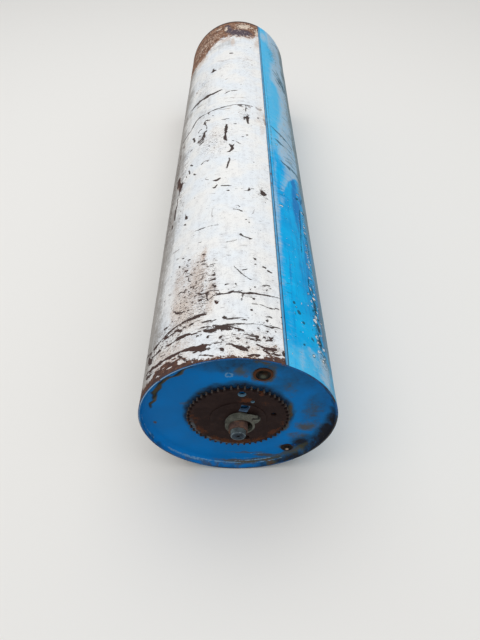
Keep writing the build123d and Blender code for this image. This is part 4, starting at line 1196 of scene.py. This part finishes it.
class DrumEndSettings(bpy.types.PropertyGroup):
    """The two recessed ends"""
    steps_around: bpy.props.IntProperty(name="Steps around", description="Faces around an end", default=360)
    dents: length_property("Dents", "How far the flat part stands out of true", 0.0012)
    ripple: length_property("Weld ripple", "Height of the ripples on the rim weld", 0.0003)
    end_blue: colour_property("Blue", "End paint", 18, 117, 190)
    end_bright: colour_property("Bright blue", "End paint where it is fresh", 6, 130, 212)
    # Dull blue is a dirt film and also painted shade along the top of the drive end.
    end_shade: colour_property("Dull blue", "End paint under a dirt film", 38, 90, 130)


class DrumSteelSettings(bpy.types.PropertyGroup):
    """Chain wheel, hub, ring and shaft"""
    bevel: length_property("Edge rounding", "Rounding of machined edges", 0.0006)
    wheel: colour_property("Wheel", "Dark rust on the chain wheel", 42, 30, 28)
    ring: colour_property("Ring", "Dull grey-green steel", 80, 82, 74)
    hub: colour_property("Hub", "Rust film on the hub", 68, 54, 50)
    shaft: colour_property("Shaft", "Bare turned steel", 76, 88, 92)


class DrumStageSettings(bpy.types.PropertyGroup):
    """Floor, light and camera"""
    floor: colour_property("Floor", "Pale floor", 232, 231, 228)
    floor_bounce: colour_property("Floor bounce", "Light that the floor throws back", 172, 172, 172)
    sky: bpy.props.FloatProperty(name="Sky", description="Strength of the even light", default=0.6)
    key: bpy.props.FloatProperty(
        name="Key lamp", description="Power of the large lamp above", unit="POWER", default=250)
    lens: bpy.props.FloatProperty(name="Lens", description="Focal length", unit="CAMERA", default=28.55)
    camera_height: length_property("Camera height", "Above the floor", 1.6232)
    camera_distance: length_property("Camera distance", "From the drum's middle along its axis", 2.2065)
    camera_pitch: bpy.props.FloatProperty(
        name="Camera pitch", description="Tilt from straight down", subtype="ANGLE",
        default=np.radians(43.56))


# Operators


class Paints:
    """Several groups of settings read as one."""

    def __init__(self, *groups):
        self.groups = groups

    def __getattr__(self, name):
        for group in self.groups:
            if name in group.bl_rna.properties:
                value = getattr(group, name)
                return tuple(value) if hasattr(value, "__len__") else value
        raise AttributeError(name)


class DRUM_OT_skins(bpy.types.Operator):
    """Adds both halves of the rolled skin"""
    bl_idname = "drum.skins"
    bl_label = "Skins"

    def execute(self, context):
        skin = context.scene.drum_skin
        paints = Paints(skin, context.scene.drum_wear)
        for half, first, seen, values, material in (
            ("white", SEAM - 180, (-80, SEAM), white_values, white_skin_material),
            ("blue", SEAM, (SEAM, 80), blue_values, blue_skin_material),
        ):
            points, faces, angle, distance = skin_grid(first, first + 180, seen, skin)
            add_piece(half + "_sheet", points, faces, material(paints), half + "_paint", ("skin_" + half,),
                      values(angle, distance))
        return {"FINISHED"}


def seam_bead(first):
    """A bead on the skin beside a seam: at u from -1 to 1 across it stands h (1 - u^2) above the skin,
    with h and its place swaying a little along the drum. Its underside lies within the skin's wall."""
    distance, u = np.meshgrid(np.linspace(0, LENGTH, 420), np.linspace(-1, 1, 9), indexing="ij")
    crown = SEAM_CROWN * (0.85 + 0.15 * random_field(distance, 0 * distance, 34, 21))
    half = SEAM_WIDTH / 2 * (0.92 + 0.08 * random_field(distance, 0 * distance, 60, 22))
    angle = first + (SEAM_WIDTH / 2 + u * half) / ARC
    top = RADIUS - 0.05 + crown * (1 - u * u)
    under = np.full_like(top[:, :2], RADIUS - 1.0)
    angle, u, along = [np.hstack([value, value[:, -1:], value[:, :1]]) for value in (angle, u, distance)]
    rows, columns = u.shape
    faces = grid_faces(rows, columns, around=True).tolist()
    faces += [list(range(columns)), list(range((rows - 1) * columns, rows * columns))]
    values = np.stack([u, 0.5 + 0 * u, 0.5 * np.abs(u) ** 6], axis=-1).reshape(-1, 3)
    return on_skin(np.hstack([top, under]), np.radians(angle), along), faces, values


class DRUM_OT_seams(bpy.types.Operator):
    """Adds the beads along both seams of the skin"""
    bl_idname = "drum.seams"
    bl_label = "Seam welds"

    def execute(self, context):
        material = bead_material(Paints(context.scene.drum_wear), "seam paint", shade(70, 152, 198),
                                 shade(48, 124, 170), shade(132, 180, 208))
        for name, first in (("upper_seam", SEAM), ("lower_seam", SEAM + 180)):
            points, faces, across = seam_bead(first)
            add_piece(name, points, faces, material, "blue_paint", (name + "_weld",), {"across": across})
        return {"FINISHED"}


# Marks on the ends. Flat tables hold (x, y, half width, half height, strength) and round ones (degrees
# clockwise from the top, radius, half angle, half radius, strength). Each has rust, grime and scuffs. On the
# drive end the grime also paints shade along the top and round the wheel.

DRIVE_FLAT = (
    ((70, 199, 46, 40, 1.2), (92, 196, 24, 34, 1.0), (66, 262, 40, 22, 0.9), (6, 217, 32, 32, 0.56),
     (20, 196, 16, 22, 0.48), (230, 20, 50, 90, 0.3), (110, -268, 60, 10, 0.9), (94, 236, 26, 24, 0.4),
     (-161, 63, 18, 14, 0.5), (-262, -44, 8, 8, 1.1), (217, -66, 66, 40, 0.6), (190, -118, 50, 30, 0.45),
     (157, 20, 11, 60, 0.9), (148, -52, 22, 52, 0.9), (100, -246, 80, 16, 0.6), (161, -195, 44, 36, 0.5),
     (150, 130, 34, 60, 0.25), (30, -228, 90, 10, 0.5), (-100, 120, 30, 20, 0.2)),
    # Grime. (0, 0, 190, 190) and (0, 252, 240, 66) are painted shade round the wheel and along the top of the
    # end.
    ((0, 0, 190, 190, 0.5), (170, 170, 130, 100, 0.4), (236, 40, 70, 150, 0.5), (68, 202, 38, 32, 1.2),
     (161, -195, 30, 26, 1.3), (0, 252, 240, 66, 0.58), (212, -165, 60, 70, 1.0), (40, 262, 60, 14, 0.7),
     (152, -56, 24, 50, 0.3)),
    ((60, -236, 60, 5, 0.5),),
)
DRIVE_ROUND = (
    ((-36, 263, 12, 6, 0.8), (-48, 267, 10, 7, 0.85), (-60, 268, 11, 8, 0.9), (-73, 262, 10, 7, 0.85),
     (172, 284, 36, 12, 0.8), (140, 280, 24, 14, 0.7), (18, 284, 22, 11, 1.0), (-160, 291, 40, 5, 0.5)),
    ((108, 300, 46, 52, 1.2), (146, 299, 36, 26, 1.0), (186, 299, 34, 7, 0.8), (60, 296, 36, 18, 0.7),
     (-38, 267, 18, 7, 1.2), (-52, 270, 12, 10, 1.3), (-64, 267, 12, 11, 1.4), (-76, 263, 8, 9, 1.3),
     # (0, 152, 900, 30) is a painted shadow round the wheel, with some grease.
     (5, 289, 40, 9, 0.9), (-110, 296, 50, 6, 0.5), (0, 152, 900, 30, 0.85), (164, 286, 30, 10, 0.9)),
    ((168, 281, 24, 3, 1.1), (178, 270, 26, 2.5, 0.9), (160, 289, 26, 3, 0.6), (194, 287, 34, 3, 0.9),
     (-140, 290, 36, 3, 0.8), (-100, 291, 30, 2.5, 0.6)),
)
IDLER_FLAT = (
    ((0, 0, 80, 80, 0.75), (-120, 210, 60, 16, 0.6), (180, 190, 30, 24, 0.6), (-230, -120, 20, 44, 0.7),
     (60, -262, 70, 12, 0.6), (242, 60, 14, 60, 0.5), (-40, 120, 18, 12, 0.7), (70, -60, 30, 24, 0.5),
     (-10, -150, 16, 90, 0.5), (130, -190, 60, 30, 0.5), (-170, 60, 24, 20, 0.6)),
    ((0, 0, 150, 150, 0.6), (-160, -60, 90, 120, 0.5), (120, 120, 110, 80, 0.45), (0, -230, 220, 70, 0.7),
     (-60, 220, 120, 50, 0.45), (0, -80, 50, 120, 0.5)),
    ((90, 140, 40, 5, 0.7), (-160, 60, 8, 36, 0.6), (-60, -200, 50, 6, 0.7), (40, 60, 5, 50, 0.5)),
)
IDLER_ROUND = (
    ((40, 269, 40, 9, 0.9), (-90, 270, 26, 9, 0.9), (180, 284, 50, 9, 0.8), (-30, 280, 20, 12, 0.7)),
    ((180, 297, 54, 34, 1.2), (-60, 294, 30, 14, 0.8), (80, 294, 34, 16, 0.8), (10, 290, 30, 9, 0.7)),
    ((150, 282, 26, 3, 0.8), (-30, 285, 26, 3, 0.7), (205, 276, 24, 3, 0.8)),
)
# The first rim table lightens the weld's crown, mostly along the upper left: worn paint and a painted
# highlight. The second is grime.
RIM_WORN_AND_LIT = ((-48, 0, 50, 1, 1.15), (-84, 0, 22, 1, 0.7), (-150, 0, 50, 1, 0.6), (172, 0, 20, 1, 0.5))
RIM_GRIME = ((112, 0, 48, 1, 1.2), (180, 0, 60, 1, 0.6), (10, 0, 16, 1, 0.5), (60, 0, 44, 1, 0.6),
             (230, 0, 44, 1, 0.5))


def round_patches(x, y, table):
    """Patches in degrees clockwise from the top and radius, laid twice so that the turn wraps."""
    clock, radius = np.degrees(np.arctan2(x, y)), np.hypot(x, y)
    again = clock + np.where(clock < 0, 360, -360)
    return np.maximum(patches(clock, radius, table), patches(again, radius, table))


def ragged(x, y, seed):
    """Places on an end pushed about by random fields, by up to END_PUSH mm each way."""
    places = x + FIELD_START, y + FIELD_START
    return [value + END_PUSH * random_field(*places, 20, seed + k) for k, value in enumerate((x, y))]


def end_grid(settings, end, seed):
    """An end as a profile of (radius, reach) turned about the axis: a flat floor, a knuckle that is a
    quarter circle, a flange, and the same again one wall further back. The floor is dented by
    w(x, y), which fades out at the hub and the knuckle."""
    bend = np.radians(np.linspace(0, 90, 11))

    def bow(radius, angles):
        return [(FLAT_RADIUS + radius * np.sin(b), -FLANGE - radius * np.cos(b)) for b in angles]

    profile = [(r, -RECESS) for r in np.linspace(HUB_RADIUS, FLAT_RADIUS, 62)]
    profile += bow(KNUCKLE, bend[1:]) + [(FLANGE_BORE, 0), (FLANGE_BORE + HEAD_WALL, 0)]
    profile += bow(KNUCKLE + HEAD_WALL, bend[::-2]) + [(HUB_RADIUS, -RECESS - HEAD_WALL)]

    def dent(radius, reach, turn):
        x, y = radius * np.cos(turn) + FIELD_START, radius * np.sin(turn) + FIELD_START
        wave = 0.7 * random_field(x, y, 150, seed) + 0.3 * random_field(x, y, 60, seed + 1)
        fade = smooth(radius, HUB_RADIUS + 8, HUB_RADIUS + 60) * smooth(FLANGE_BORE - radius, 4, 50)
        return radius, reach + settings.dents / MM * wave * fade * (reach > -RECESS - 1)

    return turned(profile, end, turns=settings.steps_around, lift=dent)


class DRUM_OT_ends(bpy.types.Operator):
    """Adds the two recessed ends"""
    bl_idname = "drum.ends"
    bl_label = "Ends"

    def execute(self, context):
        settings = context.scene.drum_end
        material = end_material(Paints(settings, context.scene.drum_wear))
        for end, mirror, seed, flat, around in (("drive", 1, 31, DRIVE_FLAT, DRIVE_ROUND),
                                                ("idler", -1, 41, IDLER_FLAT, IDLER_ROUND)):
            points, faces = end_grid(settings, end, seed)
            x, y = mirror * points[:, 0] / MM, points[:, 2] / MM - RADIUS
            pushed = ragged(x, y, seed + 40)
            wear = np.stack([np.maximum(patches(*place, table), round_patches(*place, rings))
                             for place, table, rings in zip((pushed, pushed, (x, y)), flat, around)], axis=1)
            add_piece(end + "_end", points, faces, material, "end_paint", (end + "_end_head",),
                      {"wear": wear})
        return {"FINISHED"}


class DRUM_OT_rims(bpy.types.Operator):
    """Adds the weld beads where the skin meets the ends"""
    bl_idname = "drum.rims"
    bl_label = "Rim welds"

    def execute(self, context):
        material = bead_material(Paints(context.scene.drum_wear), "rim weld paint", shade(16, 92, 156),
                                 shade(20, 76, 128), shade(172, 212, 236))
        ripple = context.scene.drum_end.ripple / MM
        middle, half, crown, under = RADIUS - SKIN_WALL, 2.5, 1.1, -0.8
        turns = 1500
        u = np.linspace(-1, 1, 11)
        profile = [(middle + half * v, crown * (1 - v * v)) for v in u]
        profile += [(middle + half, under), (middle - half, under)]

        def weld(radius, reach, turn):
            beads = np.sin(turn * 300) + 0.8 * random_field(turn * 100, 0 * turn, 2.0, 51, around=314)
            return radius, reach + ripple * beads * (reach > 0.3)

        for end in ("drive", "idler"):
            points, faces = turned(profile, end, turns=turns, lift=weld)
            place = np.repeat(np.append(u, [1, -1, -1]), turns)
            clock = np.degrees(np.arctan2(points[:, 0], points[:, 2] - RADIUS * MM))
            level = 0 * clock
            grime = np.maximum(patches(clock, level, RIM_GRIME), patches(clock + 360, level, RIM_GRIME))
            across = np.stack([place, patches(clock, level, RIM_WORN_AND_LIT), grime], axis=1)
            add_piece(end + "_rim", points, faces, material, "end_paint", (end + "_rim_weld",),
                      {"across": across})
        return {"FINISHED"}


def lumps(radius, reach, turn):
    """The hub weld's profile pushed outwards and forwards where it stands free of hub and end."""
    out = 0.8 * random_field(turn * 40, 0 * turn, 2.5, 61, around=100) + 0.3 * np.sin(turn * 46)
    free = (radius > HUB_RADIUS + 0.5) | (reach > -RECESS + 0.5)
    return radius + 0.5 * out * free, reach + 0.3 * out * free


class DRUM_OT_hubs(bpy.types.Operator):
    """Adds the hub tubes, their welds and the stub shafts"""
    bl_idname = "drum.hubs"
    bl_label = "Hubs and shafts"

    def execute(self, context):
        steel = Paints(context.scene.drum_steel, context.scene.drum_wear)
        hub_skin = steel_material("rusty hub", steel.hub, shade(106, 82, 74), shade(108, 78, 58), 0.42)
        bare = steel_material("turned steel", steel.shaft, shade(140, 154, 152), shade(44, 48, 54),
                              rough=0.45, scale=90, extra=shaft_end)
        weld_skin = steel_material("hub weld paint", shade(20, 84, 146), shade(30, 60, 90), steel.rust_dark)
        back, face, tip = -RECESS - HEAD_WALL - 40, 37, 53
        bore, fitted, journal, leg, root = 23.1, 23.0, 22.5, 5.0, HUB_RADIUS - 1
        hub = [(bore, back), (HUB_RADIUS, back), (HUB_RADIUS, face), (bore, face)]
        chamfer = [(journal, tip - 2), (journal - 2, tip)]
        centre_hole = [(4.5, tip), (0.5, tip - 9), (0, tip - 9)]
        shaft = [(0, back), (fitted, back), (fitted, face), (journal, face), *chamfer, *centre_hole]
        weld = [(HUB_RADIUS + leg * np.cos(b), -RECESS + leg * np.sin(b))
                for b in np.radians(np.linspace(0, 90, 7))]
        weld += [(root, -RECESS + leg), (root, -RECESS - 1), (HUB_RADIUS + leg, -RECESS - 1)]
        for end in ("drive", "idler"):
            piece = add_piece(end + "_hub_tube", *turned(hub, end), hub_skin, "hub_steel", (end + "_hub",))
            add_bevel(piece, 1.2, 3)
            piece = add_piece(end + "_shaft_bar", *turned(shaft, end), bare, "shaft_steel", (end + "_shaft",))
            add_bevel(piece, 0.4)
            add_piece(end + "_hub_bead", *turned(weld, end, turns=240, lift=lumps), weld_skin, "end_paint",
                      (end + "_hub_weld",))
        return {"FINISHED"}


class DRUM_OT_wheel(bpy.types.Operator):
    """Adds the chain wheel, the plate on it and the locking ring"""
    bl_idname = "drum.wheel"
    bl_label = "Chain wheel and ring"

    def execute(self, context):
        steel = Paints(context.scene.drum_steel)
        rusty = steel_material("rusty wheel", steel.wheel, shade(52, 38, 35), shade(94, 56, 36), 0.34,
                               gloss=0.08, extra=wheel_rust)
        plate = steel_material("rusty plate", shade(42, 30, 28), shade(54, 41, 38), shade(78, 48, 36), 0.3,
                               gloss=0.08, extra=lit_slot_wall)
        dull = steel_material("dull ring", steel.ring, shade(116, 118, 108), shade(66, 52, 48), 0.4,
                              rough=0.55, extra=ear_slot_shade)
        edge = steel.bevel / MM
        copy_node("wheel_disc", "chain_wheel", rusty, edge)
        copy_node("wheel_plate", "hub_plate", plate, edge)
        copy_node("ring_body", "locking_ring", dull, 1.4 * edge)
        return {"FINISHED"}


class DRUM_OT_plugs(bpy.types.Operator):
    """Adds the filler and the drain, each a socket with its screw plug, and the lug beside the drain"""
    bl_idname = "drum.plugs"
    bl_label = "Filler and drain"

    def execute(self, context):
        mouth, depth = -RECESS + 4, 14
        face, back = mouth - 2, -RECESS - depth
        for name, node, bore, square, rust, light in (
            ("filler", "filler_socket", 20.0, 24.0, shade(96, 60, 40), shade(84, 90, 78)),
            ("drain", "drain_socket", 15.0, 16.0, shade(58, 42, 36), shade(190, 168, 152)),
        ):
            low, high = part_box(node)
            centre = ((low.x + high.x) / 2 / MM, (low.z + high.z) / 2 / MM - RADIUS)
            outer = (high.x - low.x) / 2 / MM
            # The sockets stay dark at the lip and the plugs are dark all over, as painted shade of the gap
            # round each plug; only the middle of a plug's square front is lighter.
            socket_skin = steel_material(name + " socket", shade(22, 17, 17), shade(40, 28, 24), rust, 0.42,
                                         scale=60, extra=mouth_tones(centre, bore))
            skin = steel_material(name + " plug", shade(22, 21, 20), shade(44, 40, 34), shade(60, 42, 30),
                                  0.4, scale=60, extra=plug_tones(centre, square / 2, light))
            ring = turned([(bore, back), (outer, back), (outer, mouth), (bore, mouth)], "drive", centre, 72)
            piece = add_piece(name + "_ring", *ring, socket_skin, "socket_steel", (node,))
            add_bevel(piece, 1.0, 3)
            side, deep = bore - 0.05, face - depth
            body = turned([(0, deep), (side, deep), (side, face), (0, face)], "drive", centre, 72)
            head = carried_outline(
                rounded_square(square), [(0, face - 1), (0, face + 6), (0.5, face + 6.8), (1.4, face + 7)],
                "drive", centre)
            points = np.vstack([body[0], head[0]])
            faces = np.vstack([body[1], head[1] + len(body[0])])
            add_piece(name + "_screw_plug", points, faces, skin, "plug_steel", (name + "_plug",))
        lug = steel_material("lug paint", shade(16, 70, 128), shade(24, 92, 150),
                             tuple(context.scene.drum_wear.grime))
        copy_node("drain_stop", "drain_lug", lug, 0.8)
        return {"FINISHED"}


class DRUM_OT_stage(bpy.types.Operator):
    """Adds the floor, the light and the camera"""
    bl_idname = "drum.stage"
    bl_label = "Floor, light and camera"

    def execute(self, context):
        scene = context.scene
        settings = Paints(scene.drum_stage)

        def add(name, data):
            """Links an object that shows the data."""
            made = bpy.data.objects.new(name, data)
            scene.collection.objects.link(made)
            return made

        mesh = bpy.data.meshes.new("floor")
        mesh.from_pydata(FLOOR_CORNERS, [], [(0, 1, 2, 3)])
        finish = Finish("pale floor")
        seen = finish.node("ShaderNodeLightPath").outputs
        seen = finish.plus(seen["Is Camera Ray"], seen["Is Glossy Ray"], seen["Is Transmission Ray"])
        colour = finish.mix(finish.step(seen, 0.1, 0.9), settings.floor_bounce, settings.floor)
        mesh.materials.append(finish.done(colour, 0.9))
        floor = add("floor", mesh)

        world = bpy.data.worlds.new("sky")
        scene.world = world
        world.use_nodes = True
        background = world.node_tree.nodes["Background"]
        background.inputs["Color"].default_value = (1, 1, 1, 1)
        background.inputs["Strength"].default_value = settings.sky

        lamp = bpy.data.lights.new("key", "AREA")
        lamp.shape = "RECTANGLE"
        lamp.size, lamp.size_y = LAMP_SIZE, LAMP_SIZE
        lamp.energy = settings.key
        key = add("key", lamp)
        key.location = LAMP_PLACE
        key.rotation_euler = (*np.radians(LAMP_TILT), 0)

        view = bpy.data.cameras.new("camera")
        view.lens = settings.lens
        view.sensor_width = SENSOR_WIDTH
        camera = add("camera", view)
        camera.location = (CAMERA_ASIDE, -settings.camera_distance, settings.camera_height)
        camera.rotation_euler = (settings.camera_pitch, 0, np.radians(CAMERA_ROLL))
        scene.camera = camera
        scene.view_settings.view_transform = "Standard"
        return {"FINISHED"}


STEPS = (DRUM_OT_skins, DRUM_OT_seams, DRUM_OT_ends, DRUM_OT_rims, DRUM_OT_hubs, DRUM_OT_wheel, DRUM_OT_plugs,
         DRUM_OT_stage)
SETTINGS = {
    "drum_skin": DrumSkinSettings,
    "drum_wear": DrumWearSettings,
    "drum_end": DrumEndSettings,
    "drum_steel": DrumSteelSettings,
    "drum_stage": DrumStageSettings,
}


class DRUM_PT_panel(bpy.types.Panel):
    """Lists the steps that dress the drum"""
    bl_label = "Drum"
    bl_idname = "DRUM_PT_panel"
    bl_space_type = "VIEW_3D"
    bl_region_type = "UI"
    bl_category = "Drum"

    def draw(self, context):
        for step in STEPS:
            self.layout.operator(step.bl_idname)
        for group in SETTINGS:
            box = self.layout.box()
            settings = getattr(context.scene, group)
            for key in settings.__annotations__:
                box.prop(settings, key)


CLASSES = (*SETTINGS.values(), *STEPS, DRUM_PT_panel)


def register():
    for item in CLASSES:
        bpy.utils.register_class(item)
    for name, group in SETTINGS.items():
        setattr(bpy.types.Scene, name, bpy.props.PointerProperty(type=group))


def unregister():
    for name in SETTINGS:
        delattr(bpy.types.Scene, name)
    for item in reversed(CLASSES):
        bpy.utils.unregister_class(item)


def main():
    """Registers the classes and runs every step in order."""
    register()
    for step in STEPS:
        family, action = step.bl_idname.split(".")
        if getattr(getattr(bpy.ops, family), action)() != {"FINISHED"}:
            raise RuntimeError(f"{step.bl_label} didn't finish")


if __name__ == "__main__":
    main()
